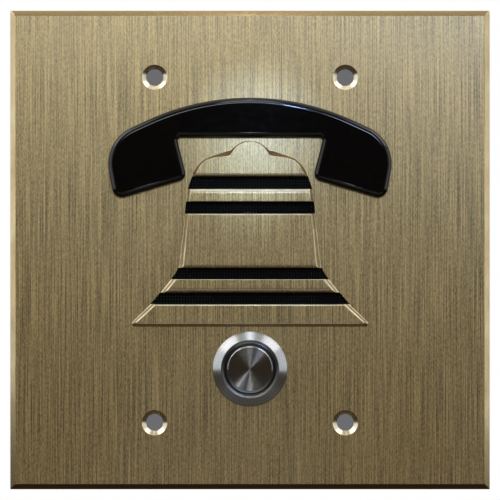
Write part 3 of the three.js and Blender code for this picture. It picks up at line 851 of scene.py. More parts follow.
def face_plate():
    """The cast plate: bevelled edges, the raised bell with its slots, its hollow back and every hole."""
    def square(inset_by, y):
        half_x, half_z = PLATE.x1 - inset_by, PLATE.z1 - inset_by
        return rectangle(-half_x, half_x, -half_z, half_z, 0.15, 3), y

    bevel_back = PLATE_FRONT + EDGE_BEVEL_DEPTH
    plate = loft("face_plate_brass", [
        square(EDGE_BEVEL + 0.06, PLATE_FRONT), square(EDGE_BEVEL - 0.04, PLATE_FRONT + 0.03),
        square(0.06, bevel_back - 0.04), square(0, bevel_back + 0.05),
        square(0, PLATE_BACK - 0.15), square(0.15, PLATE_BACK),
    ])
    foot, face = rounded(mirrored(BELL_BASE)), rounded(mirrored(BELL_FACE))
    flank = [
        ([a.lerp(b, across) for a, b in zip(foot, face)], PLATE_FRONT - RELIEF * up)
        for across, up in reversed(FLANK)
    ]
    carve(plate, [loft("bell", [*flank, (foot, PLATE_FRONT + 0.6)])], "UNION")

    def reach():
        return prism("reach", [Vector((p.x * SLOT_REACH, p.y)) for p in foot], RELIEF_FRONT - 1, 0)

    floor = RELIEF_FRONT + 2
    hollow = rounded(mirrored(BELL_POCKET))
    pocket = loft("pocket", [
        (inset(hollow, 0.4), floor), (inset(hollow, 0.12), floor + 0.12),
        (hollow, floor + 0.4), (hollow, 0.5),
    ])
    cutters = [pocket] + [slot_cutter(*slot, reach) for slot in GRILLE_SLOTS]
    mouth = SCREW_SINK + 0.5 * (SCREW_SINK - SCREW_HOLE) / SINK_DEPTH
    for x, z in SCREW_PLACES:
        cutters.append(revolve("wall_screw_hole", [
            (0, PLATE_FRONT - 0.5), (mouth, PLATE_FRONT - 0.5), (SCREW_HOLE, PLATE_FRONT + SINK_DEPTH),
            (SCREW_HOLE, 0), (0, 0),
        ], x, z, 64))
    for x, z in PEG_PLACES:
        cutters.append(cylinder(PEG_HOLE, PLATE_FRONT - 1, 0, x, z))
    for side in ("left", "right"):
        stud = Box(f"speaker_stud_{side}")
        cutters.append(cylinder(STUD_HOLE, stud.y0 - 0.05, 0, stud.x, stud.z))
    for i in range(1, 5):
        standoff = Box(f"board_standoff_{i}")
        cutters.append(cylinder(STANDOFF_HOLE, standoff.y0 - 0.05, 0, standoff.x, standoff.z))
    button = Box("button_cap")
    cutters.append(cylinder(BUTTON_HOLE, PLATE_FRONT - 1, 0, button.x, button.z, 96))
    carve(plate, cutters)
    painted(plate, BRASS)
    repaint(plate, CAST_BRASS, lambda centre, normal: normal.y > 0.3 and centre.y > RELIEF_FRONT + 1.9)
    # The bell's rounds that face up or sideways get paler brass: a painted highlight, as well as rubbed
    # patina.
    repaint(plate, RUBBED_AND_HIGHLIT_BRASS, rubbed_and_highlit)
    repaint(plate, MACHINED_BRASS, milled)
    repaint(plate, CUT_BRASS, countersunk)
    place(plate, "face_plate", crease=26)


def wall_gasket():
    def square(half):
        return rectangle(-half, half, -half, half, 3, 8)

    ring_box = Box("wall_gasket")
    gasket = prism("wall_gasket_foam", square(ring_box.x1), ring_box.y0, ring_box.y1, 0.2)
    carve(gasket, [prism("opening", square(47), ring_box.y0 - 1, ring_box.y1 + 1)])
    place(painted(gasket, FOAM), "wall_gasket")


# ---------------------------------------------------------------- the handset inlay
PEG_PLACES = ((-25.5, 20.5), (25.5, 20.5), (0, 32))
HANDSET_EDGE = 1.35


def handset_inlay():
    box = Box("handset_inlay")
    back = PLATE_FRONT - 0.05
    outline = rounded(mirrored(HANDSET), 24)
    levels = []
    for k in range(9):
        turn = math.radians(90 * k / 8)
        levels.append((inset(outline, HANDSET_EDGE * (1 - math.sin(turn))),
                       box.y0 + HANDSET_EDGE * (1 - math.cos(turn))))
    inlay = loft("handset_inlay_gloss", [*levels, (outline, back - 0.12), (inset(outline, 0.12), back)])
    for x, z in PEG_PLACES:
        peg = [(0, box.y0 + 1.2), (1.5, box.y0 + 1.2), (1.5, box.y1, 0.35), (0, box.y1)]
        carve(inlay, [turned("peg", peg, x, z, 32)], "UNION")
    place(painted(inlay, GLOSS_BLACK), "handset_inlay", crease=30)


def push_nut(side):
    """A pressed steel disc with six sprung teeth that bite on the peg."""
    node = f"handset_push_nut_{side}"
    box = Box(node)
    nut = turned(f"push_nut_{side}", [
        (1.56, box.y1 - 0.2, 0.03), (2.5, box.y0, 0.1), (box.radius, box.y0, 0.05),
        (box.radius, box.y0 + 0.32, 0.1), (box.radius - 0.35, box.y0 + 0.32, 0.05),
        (box.radius - 0.5, box.y0 + 0.2, 0.05), (2.6, box.y0 + 0.2, 0.1), (1.56, box.y1, 0.03),
    ], box.x, box.z, 48)
    slits = []
    for k in range(6):
        slit = block("slit", (box.x - 0.14, box.y0 - 1, box.z + 1.2), (box.x + 0.14, box.y1 + 1, box.z + 2.7))
        slits.append(spun(slit, box.x, box.z, 60 * k))
    place(painted(carve(nut, slits), RAW_STEEL), node, crease=30)


# ---------------------------------------------------------------- the mesh behind the slots
MESH_HALF = ((17.5, 27.5, 0), (19, 5, 0), (27.5, -12, 0), (27.5, -18.6, 0))
WIRE_PITCH = 0.7
WIRE = 0.058
WIRE_WIDTH = 0.22


def crossings(outline, position, axis):
    """Where the line at a position on one axis enters and leaves the outline."""
    found = []
    for a, b in zip(outline, outline[1:] + outline[:1]):
        low, high = sorted((a[axis], b[axis]))
        if low <= position < high:
            share = (position - a[axis]) / (b[axis] - a[axis])
            found.append(a[1 - axis] + share * (b[1 - axis] - a[1 - axis]))
    return sorted(found)


def grille_mesh():
    """Woven black wire: each wire passes over one and under the next."""
    box = Box("grille_mesh")
    outline = rounded(mirrored(MESH_HALF))
    vertices, faces = [], []
    for axis in (0, 1):
        low = box.x0 if axis == 0 else box.z0
        high = box.x1 if axis == 0 else box.z1
        for i in range(1, int((high - low) / WIRE_PITCH)):
            position = low + i * WIRE_PITCH
            ends = crossings(outline, position, axis)
            start, stop = ends[0] + 0.1, ends[-1] - 0.1
            other_low = box.z0 if axis == 0 else box.x0
            first = math.ceil((start - other_low) / WIRE_PITCH)
            last = math.floor((stop - other_low) / WIRE_PITCH)
            knots = [other_low + k * WIRE_PITCH for k in range(first, last + 1)]
            offset = len(vertices)
            for k, along in enumerate(knots, first):
                over = WIRE if (i + k + axis) % 2 else -WIRE
                for across, rise in ((-WIRE_WIDTH, 0), (0, -WIRE), (WIRE_WIDTH, 0), (0, WIRE)):
                    flat = (position + across, along) if axis == 0 else (along, position + across)
                    vertices.append(Vector((flat[0], box.y + over + rise, flat[1])))
            order = (0, 1, 2, 3) if axis == 0 else (3, 2, 1, 0)
            for k in range(len(knots) - 1):
                for m in range(4):
                    a, b = offset + 4 * k + order[m], offset + 4 * k + order[(m + 1) % 4]
                    faces.append((a, b, b + 4, a + 4))
            end = offset + 4 * (len(knots) - 1)
            faces.append(tuple(offset + order[m] for m in (3, 2, 1, 0)))
            faces.append(tuple(end + order[m] for m in (0, 1, 2, 3)))
    wires = mesh_object("grille_mesh_woven", vertices, faces)
    place(painted(wires, MESH_BLACK), "grille_mesh", crease=60)


# ---------------------------------------------------------------- the speaker
SPEAKER = Box("speaker_frame")
EAR_REACH = 26.5
EAR_HALF_WIDTH = 3.5
EAR_HOLE = 1.7
EAR_HOLE_X = 23
EAR_ROOT = 18.4


def speaker_piece(name, corners, finish, node, soft=0.08, crease=38):
    piece = turned(name, corners, SPEAKER.x, SPEAKER.z, 96, soft)
    return place(painted(piece, finish), node, crease=crease)


def follow_cone(piece, inner, outer):
    """The piece bends with the cone: its inner edge moves and its outer edge stays on the frame."""
    piece.parent = None
    del piece["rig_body"]
    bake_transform(piece, "speaker_moving_parts", "panel",
             mm(SPEAKER.x + inner, SPEAKER.y0, SPEAKER.z), mm(SPEAKER.x + outer, SPEAKER.y0, SPEAKER.z))
    weights = piece.data.attributes["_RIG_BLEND"].data
    for vertex in piece.data.vertices:
        radius = math.hypot(vertex.co.x * 1000 - SPEAKER.x, vertex.co.z * 1000 - SPEAKER.z)
        share = min(1, max(0, (radius - inner) / (outer - inner)))
        weights[vertex.index].value = share * share * (3 - 2 * share)


def speaker_gasket():
    gasket = Box("speaker_gasket")
    speaker_piece("speaker_gasket_foam", [
        (17, gasket.y0, 0.3), (20, gasket.y0, 0.3), (20, gasket.y1, 0.3), (17, gasket.y1, 0.3),
    ], FOAM, "speaker_gasket")


def speaker_frame():
    """The pressed basket, with an ear for each stud and four windows."""
    x, z, front = SPEAKER.x, SPEAKER.z, SPEAKER.y0
    back = front + 1
    basket = turned("speaker_frame_pressed", [
        (15.5, front), (20, front), (20, back), (18, back), (15.3, 5.9, 0.4), (13, 5.9, 0.3), (13, 8.4),
        (7.6, 8.4), (7.6, 7.7), (12.3, 7.7), (12.3, 5.2), (14.7, 5.2), (16.9, back), (15.5, back),
    ], x, z, 96)
    for side in (-1, 1):
        ear = rectangle(0, EAR_REACH, z - EAR_HALF_WIDTH, z + EAR_HALF_WIDTH, EAR_HALF_WIDTH - 0.01, 10)
        ear = [Vector((side * p.x, p.y)) for p in (ear if side > 0 else ear[::-1])]
        plate = prism("ear", ear, front, back, 0.08)
        carve(plate, [cylinder(EAR_ROOT, front - 1, back + 1, x, z, 96),
                      cylinder(EAR_HOLE, front - 1, back + 1, side * EAR_HOLE_X, z)])
        carve(basket, [plate], "UNION")
    windows = [
        spun(block("window", (13.8, 2.1, z - 4.5), (20, 4.9, z + 4.5), 0.5), x, z, angle)
        for angle in (45, 135, 225, 315)
    ]
    place(painted(carve(basket, windows), RAW_STEEL), "speaker_frame", crease=30)


def speaker_surround():
    """A rubber half roll between the frame and the cone."""
    def roll(across, base, rise):
        turns = [math.radians(15 * k) for k in range(1, 12)]
        return [(14.3 + across * math.cos(t), base + rise * math.sin(t)) for t in turns]

    profile = [
        (12.8, 0.05), (13.25, 0.05), *roll(-1.0, 0.12, 0.88), (15.35, 0.05), (16.9, 0.05),
        (16.9, 0.3), (15.45, 0.3), *roll(1.1, 0.32, 0.93), (13.15, 0.3), (12.8, 0.3),
    ]
    surround = revolve("speaker_surround_roll", profile, SPEAKER.x, SPEAKER.z, 96)
    place(painted(surround, SURROUND_RUBBER), "speaker_surround", crease=60)
    follow_cone(surround, 13.2, 15.4)


def speaker_moving_parts():
    speaker_piece("speaker_cone_paper", [
        (6.85, 4.75), (8.6, 3.1), (10.7, 1.55), (12.5, 0.35), (13.1, 0.35), (13.1, 0.65), (12.65, 0.65),
        (10.8, 1.95), (8.8, 3.5), (6.85, 5.2),
    ], PAPER, "speaker_cone", 0.04, 50)
    speaker_piece("dust_cap_dome", [
        (0, 2.3), (2, 2.42), (3.8, 2.82), (5.3, 3.5), (6.5, 4.4), (6.3, 4.65), (5.1, 3.8), (3.7, 3.12),
        (1.9, 2.72), (0, 2.6),
    ], PAPER, "dust_cap", 0.03, 50)
    wire = [(6.72 + 0.17 * (k % 2), 8.4 + 0.1 * k, 0) for k in range(19)]
    speaker_piece("voice_coil_winding", [
        (6.3, 4.9), (6.7, 4.9), *wire, (6.3, 10.2),
    ], COPPER, "voice_coil", 0.02)


def speaker_spider():
    """Corrugated cloth that keeps the coil in the middle of its gap."""
    inner, outer, waves, height, thickness = 6.85, 14.3, 4, 0.12, 0.16
    steps = waves * 8
    front = []
    for k in range(steps + 1):
        share = k / steps
        sag = 5.2 - 0.25 * share
        front.append((inner + (outer - inner) * share, sag + height * math.sin(2 * math.pi * waves * share)))
    back = [(radius, y + thickness) for radius, y in reversed(front)]
    spider = revolve("speaker_spider_cloth", front + back, SPEAKER.x, SPEAKER.z, 96)
    place(painted(spider, CLOTH), "speaker_spider", crease=60)
    follow_cone(spider, 7.4, 11.9)


def speaker_motor():
    """Top plate, magnet and yoke. The coil moves in the gap between the plate and the yoke's pole."""
    speaker_piece("speaker_top_plate_steel", [
        (7.1, 8.45), (13.2, 8.45), (13.2, 9.95), (7.1, 9.95),
    ], RAW_STEEL, "speaker_top_plate", 0.12)
    speaker_piece("speaker_magnet_ferrite", [
        (8, 10), (14, 10), (14, 15), (8, 15),
    ], FERRITE, "speaker_magnet", 0.35)
    speaker_piece("speaker_yoke_steel", [
        (0, 8.45), (6.1, 8.45), (6.1, 15.05), (13.2, 15.05), (13.2, 17, 0.5), (4.2, 17, 0.05),
        (3.9, 16.85, 0.05), (0, 16.85),
    ], NUT_STEEL, "speaker_yoke", 0.15)


def speaker_terminal_strip():
    """A phenolic strip on the frame with two riveted and soldered lugs."""
    box = Box("speaker_terminal_strip")
    parts = [painted(block("strip", box.low, (box.x1, 2.2, box.z1), 0.1), STRIP_BROWN)]
    for x in (-3, 3):
        lug = block("lug", (x - 0.8, 2.15, 22.0), (x + 0.8, 2.5, 24.9), 0.12)
        rivet = [(0, 2.3), (0.7, 2.3), (0.6, box.y1 - 0.2, 0.15), (0, box.y1 - 0.2)]
        solder = [(0, 2.3), (0.85, 2.35), (0.62, 2.75, 0.2), (0.2, box.y1), (0, box.y1)]
        parts += [
            painted(lug, PAD_COPPER), painted(turned("rivet", rivet, x, 22.6, 24), TINNED),
            painted(turned("solder", solder, x, 24, 24), SOLDER),
        ]
    place(merged("speaker_terminals", parts), "speaker_terminal_strip", crease=30)


def speaker_fixing(side):
    """A threaded stud in the plate, and its nut."""
    stud, nut = Box(f"speaker_stud_{side}"), Box(f"speaker_nut_{side}")
    screw = revolve(f"speaker_stud_{side}_threaded", [
        (0, stud.y0), (1.2, stud.y0), *thread(1.5, stud.y0 + 0.3, stud.y1 - 0.25), (1.1, stud.y1),
        (0, stud.y1),
    ], stud.x, stud.z, 32)
    place(painted(screw, RAW_STEEL), f"speaker_stud_{side}", crease=25)
    body = hex_nut(f"speaker_nut_{side}_hex", 5.5, nut.y0, nut.y1, nut.x, nut.z, 1.55)
    place(painted(body, RAW_STEEL), f"speaker_nut_{side}", crease=25)


# ---------------------------------------------------------------- the push button
BUTTON = Box("button_housing")


def button_piece(name, corners, finish, node, crease=35, steps=128):
    return place(painted(turned(name, corners, BUTTON.x, BUTTON.z, steps, 0.06), finish), node, crease=crease)


def button_head():
    """The bezel on its threaded barrel, the seal behind it and the cap."""
    flange_back = PLATE_FRONT - 0.05
    barrel = [(radius, y, 0) for radius, y in thread(8, -1.2, BUTTON.y1 - 0.4, 1.0)]
    bezel = button_piece("button_bezel", [
        (6.1, -5, 0.1), (6.65, -5.7, 0.12), (7, -5.75, 0.1), (8.9, -4.45, 0.12), (9, -4.3, 0.05),
        (9, flange_back, 0.05), (8.78, flange_back, 0.02), (8.78, flange_back - 0.4, 0.02),
        (7.95, flange_back - 0.4, 0.02), (7.95, -1.6, 0.02), *barrel,
        (7.5, BUTTON.y1, 0.05), (7, BUTTON.y1, 0.05), (7, -2, 0.05), (6.1, -2, 0.05),
    ], BEZEL_STEEL, "button_housing", crease=24)

    # The bezel's inner chamfer and lip round the cap get the darker steel: painted shade in the recess.
    def in_painted_shade(centre, normal):
        return math.hypot(centre.x - BUTTON.x, centre.z - BUTTON.z) < 6.9 and centre.y < -3

    repaint(bezel, SHADED_RECESS_STEEL, in_painted_shade)
    button_piece("button_seal", [
        (8.06, -3.95), (8.72, -3.95), (8.72, -3.6), (8.06, -3.6),
    ], RUBBER, "button_seal_washer")
    cap = Box("button_cap")
    button_piece("button_cap_turned", [
        (0, cap.y0), (5.3, cap.y0, 0.15), (5.95, -4.95, 0.15), (5.95, -1.95, 0.05), (6.75, -1.95, 0.05),
        (6.75, cap.y1, 0.1), (0, cap.y1),
    ], CAP_STEEL, "button_cap", crease=40)


def button_lock_nut():
    nut = Box("button_lock_nut")
    body = hex_nut("button_lock_nut_hex", 19, nut.y0, nut.y1, nut.x, nut.z, 8.05)
    place(painted(body, NUT_STEEL), "button_lock_nut", crease=25)


def button_plunger():
    box = Box("button_plunger")
    button_piece("button_plunger_rod", [
        (0, box.y0), (1.6, box.y0), (1.6, 7.8), (1.45, 8), (1.45, box.y1), (0, box.y1),
    ], BLACK_PLASTIC, "button_plunger", steps=32)


def button_return_spring():
    """A coil with a closed turn at each end."""
    box = Box("button_return_spring")
    wire, mean, turns = 0.27, 3.25, 6.5
    low, high = box.y0 + wire, box.y1 - wire
    points = []
    for k in range(int(turns * 16) + 1):
        turn = k / 16
        share = min(1, max(0, (turn - 0.8) / (turns - 1.6)))
        angle = 2 * math.pi * turn
        rise = low + (high - low) * (share * 0.94 + 0.03) if 0 < share < 1 else (low if share == 0 else high)
        points.append((BUTTON.x + mean * math.cos(angle), rise, BUTTON.z + mean * math.sin(angle)))
    spring = sweep("button_spring_coil", points, wire, sides=10, samples=2)
    place(painted(spring, TINNED), "button_return_spring", crease=60)
    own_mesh(spring)


def button_contact_bridge():
    """The sprung copper bar that the plunger carries, with a contact near each end."""
    box = Box("button_contact_bridge")
    parts = [painted(block("bridge", box.low, (box.x1, box.y1 - 0.08, box.z1), 0.08), COPPER)]
    contact = [(0, box.y0 + 0.1), (0.9, box.y0 + 0.1), (0.8, box.y1, 0.1), (0, box.y1)]
    parts += [painted(turned("contact", contact, x, BUTTON.z, 24), TINNED) for x in (-3.3, 3.3)]
    place(merged("button_bridge_sprung", parts), "button_contact_bridge")


def button_switch_base():
    z = BUTTON.z
    base = turned("button_switch_carrier", [
        (1.9, 8), (6.9, 8), (6.9, 13.05, 0.02), (7.9, 13.05, 0.15), (7.9, 18.7, 0.05), (7.6, 19, 0.05),
        (0, 19), (0, 12.5), (5.5, 12.5), (5.5, 8.9), (1.9, 8.9),
    ], BUTTON.x, z, 96)
    cutters = [block("slot", (x - 0.4, 12, z - 1.5), (x + 0.4, 20, z + 1.5)) for x in (-3.5, 3.5)]
    cutters += [block("flat", (x - 1.3, 14.2, z - 2), (x + 1.3, 20, z + 2), 0.2) for x in (-8.6, 8.6)]
    place(painted(carve(base, cutters), BLACK_PLASTIC), "button_switch_base", crease=30)


def button_terminal(side):
    """A blade with an eye for the lead, on the fixed contact's pad."""
    node = f"button_terminal_{side}"
    box = Box(node)
    blade = block("blade", (box.x - 0.3, box.y0 + 0.3, box.z0), (box.x + 0.3, box.y1, box.z1), 0.12)
    eye = revolve("eye", [(0, -1), (0.6, -1), (0.6, 1), (0, 1)], 0, 0, 24)
    across = Matrix.Rotation(math.radians(90), 4, "Z")
    eye.data.transform(Matrix.Translation(mm(box.x, box.y1 - 1.3, box.z)) @ across)
    pad = block("pad", box.low, (box.x1, box.y0 + 0.45, box.z1), 0.1)
    carve(carve(blade, [eye]), [pad], "UNION")
    place(painted(blade, BRASS_STRIP), node, crease=30)


# ---------------------------------------------------------------- the circuit board
BOARD = Box("circuit_board")
TRACK_BACK = BOARD.y1 + 0.035
MAGNET_OPENING = 17
BOARD_SCREW_HOLE = 1.7
TRACKS = (
    (1.4, ((-16.5, 26.5), (-16.5, 22), (-22, 22), (-22, 17), (-25, 17))),
    (1.4, ((-11.5, 26.5), (-11.5, 23.2), (-5.4, 23.2))),
    (1.0, ((5.4, 23.1), (8, 23.1), (8, 25.3))),
    (0.8, ((10.2, 25.3), (10.2, 23.5), (19, 23.5), (22, 20.5), (26, 20.5))),
    (0.8, ((12.8, 25.3), (12.8, 24.6), (23.4, 24.6), (26.3, 22))),
    (0.8, ((15.3, 33.1), (15.3, 34), (38, 34), (38, 27.6))),
    (0.8, ((5.1, 33.1), (5.1, 34.2), (-31.5, 34.2), (-33, 27))),
    (0.8, ((-29, 17), (-33, 17), (-33, 8), (-30.5, 6))),
    (0.8, ((-27.5, 6), (-24, 6), (-21, 3), (-21, -9), (-12, -15.6), (-9.8, -15.6))),
    (0.8, ((9.8, -15.6), (24, -15.6), (25.5, -11.5))),
    (0.8, ((28.3, -11.5), (28.3, -13.5), (38.5, -13.5), (38.5, -8), (38.5, 22), (34, 25.2), (19, 25.2))),
    (0.8, ((31, -5), (31, 0), (24.5, 6), (24.5, 9.6))),
    (0.8, ((33.5, 9.6), (33.5, 2), (36.5, -2))),
    (2.2, ((-39, 18), (-39, -6), (-30, -16.5), (-14, -16.5))),
)
PADS = (
    (-16.5, 26.5), (-11.5, 26.5), (-5.4, 23.1), (5.4, 23.1), (-9.8, -15.6), (9.8, -15.6), (-29, 17),
    (-25, 17), (-30.3, 6), (-27.7, 6), (25.5, -11.5), (28.3, -11.5), (31, -5), (24.5, 9.6), (33.5, 9.6),
    (26.5, 22), (31.5, 22), (18.2, -11.6), (20.8, -11.6), (38, 27), (-33, 27), (36.5, -2.2), (-14, -16.4),
)


def land(inner, outer, x, z, steps):
    """A ring of tinned copper on the back of the board."""
    return painted(ring("land", inner, outer, BOARD.y1 - 0.02, TRACK_BACK, x, z, 0.01, steps), PAD_COPPER)


def circuit_board():
    outline = rectangle(BOARD.x0, BOARD.x1, BOARD.z0, BOARD.z1, 2, 8)
    board = prism("circuit_board_laminate", outline, BOARD.y0, BOARD.y1, 0.06)
    cutters = [cylinder(MAGNET_OPENING, BOARD.y0 - 1, BOARD.y1 + 1, SPEAKER.x, SPEAKER.z, 128)]
    for i in range(1, 5):
        screw = Box(f"board_screw_{i}")
        cutters.append(cylinder(BOARD_SCREW_HOLE, BOARD.y0 - 1, BOARD.y1 + 1, screw.x, screw.z))
    painted(carve(board, cutters), BOARD_GREEN)
    middle = (BOARD.y0 + BOARD.y1) / 2
    repaint(board, BOARD_EDGE, lambda centre, normal: abs(normal.y) < 0.5 and abs(centre.y - middle) < 0.7)
    parts = [board]
    for width, line in TRACKS:
        parts.append(painted(strip("track", line, width, BOARD.y1 - 0.02, TRACK_BACK - 0.01), TRACE_GREEN))
    front = BOARD.y0
    joint = [(0, front - 0.9), (0.3, front - 0.85), (0.45, front - 0.3, 0.2), (0.95, front + 0.02),
             (0, front + 0.02)]
    for x, z in PADS:
        parts += [land(0.35, 0.95, x, z, 24), painted(turned("solder_joint", joint, x, z, 16), SOLDER)]
    for i in range(1, 5):
        screw = Box(f"board_screw_{i}")
        parts.append(land(1.75, 3.1, screw.x, screw.z, 48))
    place(merged("circuit_board_populated", parts), "circuit_board", crease=30)


def board_fixing(i):
    """A turned standoff riveted in the plate, and the screw in it."""
    node = f"board_standoff_{i}"
    box = Box(node)
    body = turned(f"standoff_{i}", [
        (0, box.y0), (1.9, box.y0), (1.9, -1.5, 0.02), (2.75, -1.5), (2.75, 1.2), (2.45, 1.6), (2.45, 6.6),
        (2.75, 7), (2.75, box.y1), (1.3, box.y1), (1.3, 3), (0, 3),
    ], box.x, box.z, 48, 0.1)
    place(painted(body, NUT_STEEL), node, crease=30)
    screw = Box(f"board_screw_{i}")
    seat, head = BOARD.y1 + 0.05, screw.radius
    body = revolve(f"board_screw_{i}_pan", [
        (0, screw.y0), (0.8, screw.y0), *thread(1.2, screw.y0 + 0.3, seat - 0.4, 0.45), (1.2, seat),
        (head - 0.05, seat), (head, seat + 0.08), (head, seat + 0.85), (head - 0.1, seat + 1.15),
        (head - 0.45, seat + 1.5), (head - 1.1, seat + 1.78), (0, screw.y1),
    ], screw.x, screw.z, 48)
    recess = loft("recess", [
        (inset(cross(1.35, 0.32, screw.x, screw.z), 0.2), seat + 0.75),
        (cross(1.55, 0.36, screw.x, screw.z), screw.y1 + 0.3),
    ])
    place(painted(carve(body, [recess]), RAW_STEEL), f"board_screw_{i}", crease=28)


def microphone():
    can, boot = Box("microphone"), Box("microphone_boot")
    body = turned("microphone_can", [
        (0, can.y0 + 0.35), (2.35, can.y0 + 0.35, 0.02), (2.45, can.y0, 0.1), (can.radius, can.y0, 0.25),
        (can.radius, can.y0 + 1.1, 0.1), (can.radius - 0.12, can.y0 + 1.3, 0.1),
        (can.radius, can.y0 + 1.5, 0.1), (can.radius, can.y1), (0, can.y1),
    ], can.x, can.z, 64)
    painted(body, CANNED)
    middle = Vector((can.x, can.z))
    repaint(body, FELT, lambda centre, normal:
            normal.y < -0.9 and (Vector((centre.x, centre.z)) - middle).length < 2.4)
    place(body, "microphone")
    sleeve = [(3.1, boot.y0), (3.9, boot.y0)]
    for y in (0.4, 2.2, 4.0, 5.8):
        sleeve += [(3.9, y), (3.7, y + 0.25), (3.7, y + 0.75), (3.9, y + 1)]
    sleeve += [(3.9, boot.y1), (3.1, boot.y1)]
    place(painted(turned("microphone_boot_moulded", sleeve, boot.x, boot.z, 64), RUBBER), "microphone_boot")


POLE_X = (-16.5, -11.5)
POLE_Z = 28.5


def terminal_block():
    """A moulded block with a cavity, a wire opening and a screw hole for each pole."""
    box = Box("terminal_block")
    body = block("terminal_block_moulded", box.low, box.high, 0.25)
    chamfer = [(box.y1 + 1, box.z1 + 1), (box.y1 + 1, box.z1 - 1.6), (box.y1 - 3.4, box.z1 + 1)]
    cutters = [bar("chamfer", chamfer, box.x0 - 1, box.x1 + 1)]
    for x in POLE_X:
        cutters += [
            block("cavity", (x - 1.75, 11.3, 26.2), (x + 1.75, 17, 31)),
            block("wire_way", (x - 1.5, 11.9, 27.2), (x + 1.5, 14.9, box.z1 + 1), 0.3),
            block("funnel", (x - 1.9, 11.4, box.z1 - 0.5), (x + 1.9, 15.4, box.z1 + 1), 0.3),
            cylinder(2.05, 18.3, box.y1 + 1, x, POLE_Z, 48),
            cylinder(1.35, 16, 18.35, x, POLE_Z),
        ]
    cutters.append(block("groove", (-14.15, box.y1 - 1.2, box.z0 - 1), (-13.85, box.y1 + 1, box.z1 + 1)))
    place(painted(carve(body, cutters), TERMINAL_GREEN), "terminal_block", crease=30)


def terminal_pole(i):
    """A slotted screw and the rising cage that it drives."""
    x, z = POLE_X[i - 1], POLE_Z
    screw = Box(f"terminal_screw_{i}")
    body = revolve(f"terminal_screw_{i}_slotted", [
        (0, screw.y0), (0.9, screw.y0), *thread(1.2, screw.y0 + 0.25, 18, 0.5), (1.2, 18.35), (1.85, 18.35),
        (1.9, 18.45), (1.9, screw.y1 - 0.15), (1.75, screw.y1), (0, screw.y1),
    ], x, z, 48)
    slot = block("slot", (x - 3, screw.y1 - 0.8, z - 0.3), (x + 3, screw.y1 + 1, z + 0.3))
    place(painted(carve(body, [slot]), RAW_STEEL), f"terminal_screw_{i}", crease=28)
    clamp = Box(f"terminal_clamp_{i}")
    cage = block(f"terminal_clamp_{i}_cage", clamp.low, clamp.high, 0.1)
    inside = [block("way", (x - 1.05, 12, 20), (x + 1.05, 14.6, 40)), cylinder(1.3, 12, 17, x, z)]
    place(painted(carve(cage, inside), BRASS_STRIP), f"terminal_clamp_{i}", crease=30)


def audio_transformer():
    """Stacked laminations with a taped winding round the middle leg, on a bobbin with pins."""
    def wound(y0, y1, z0, z1, radius, steps):
        return [tuple(p) for p in rectangle(y0, y1, z0, z1, radius, steps)]

    box = Box("audio_transformer")
    core_low, core_high = (box.x0, box.y0 + 0.2, 11), (box.x1, box.y1, 20.5)
    core = block("core", core_low, core_high, 0.12)
    windows = [block("window", (24.4, y0, 10), (33.6, y1, 22)) for y0, y1 in ((12.5, 14.4), (17.8, 19.7))]
    parts = [painted(carve(core, windows), CORE)]
    winding = bar("winding", wound(12.3, 19.9, 8.5, 23, 2.3, 8), 25.05, 32.95)
    parts.append(painted(winding, TAPE))
    for x0, x1 in ((24.4, 25.05), (32.95, 33.6)):
        flange = bar("flange", wound(11.7, 20.5, 8, 23.5, 0.8, 4), x0, x1)
        parts.append(painted(flange, BLACK_PLASTIC))
    for z in (8.6, 22.2):
        rail = block("pin_rail", (24.4, box.y0 + 0.3, z - 0.6), (33.6, 12, z + 1.2), 0.15)
        parts.append(painted(rail, BLACK_PLASTIC))
    for x in (25.5, 29, 32.5):
        for z in (9.2, 22.8):
            pin = block("pin", (x - 0.3, box.y0, z - 0.3), (x + 0.3, 11.5, z + 0.3), 0.05)
            parts.append(painted(pin, TINNED))
    place(merged("audio_transformer_wound", parts), "audio_transformer", crease=30)


def capacitor(node):
    """An electrolytic can in a shrunk sleeve, with a crimp near the foot and a vent cross on top."""
    box = Box(node)
    r, top = box.radius, box.y1
    body = turned(f"{node}_can", [
        (0, box.y0), (r - 0.3, box.y0, 0.2), (r, box.y0 + 0.4, 0.2), (r, box.y0 + 1, 0.2),
        (r - 0.3, box.y0 + 1.35, 0.2), (r, box.y0 + 1.7, 0.2), (r, top, 0.35), (r - 0.55, top, 0.1),
        (r - 0.65, top - 0.15, 0.05), (0, top - 0.15),
    ], box.x, box.z, 64)
    vent = prism("vent", cross(r * 0.55, 0.09, box.x, box.z), top - 0.3, top + 0.2)
    painted(carve(body, [vent]), SLEEVE)

    def on_stripe(centre, normal):
        angle = math.degrees(math.atan2(centre.z - box.z, centre.x - box.x))
        return abs(normal.y) < 0.5 and box.y0 + 1.9 < centre.y < top - 0.4 and 150 < abs(angle)

    def on_top(centre, normal):
        return math.hypot(centre.x - box.x, centre.z - box.z) < r - 0.6 and centre.y > top - 0.4

    repaint(body, STRIPE, on_stripe)
    repaint(body, CANNED, on_top)
    place(body, node, crease=32)


LEG_PITCH = 2.54


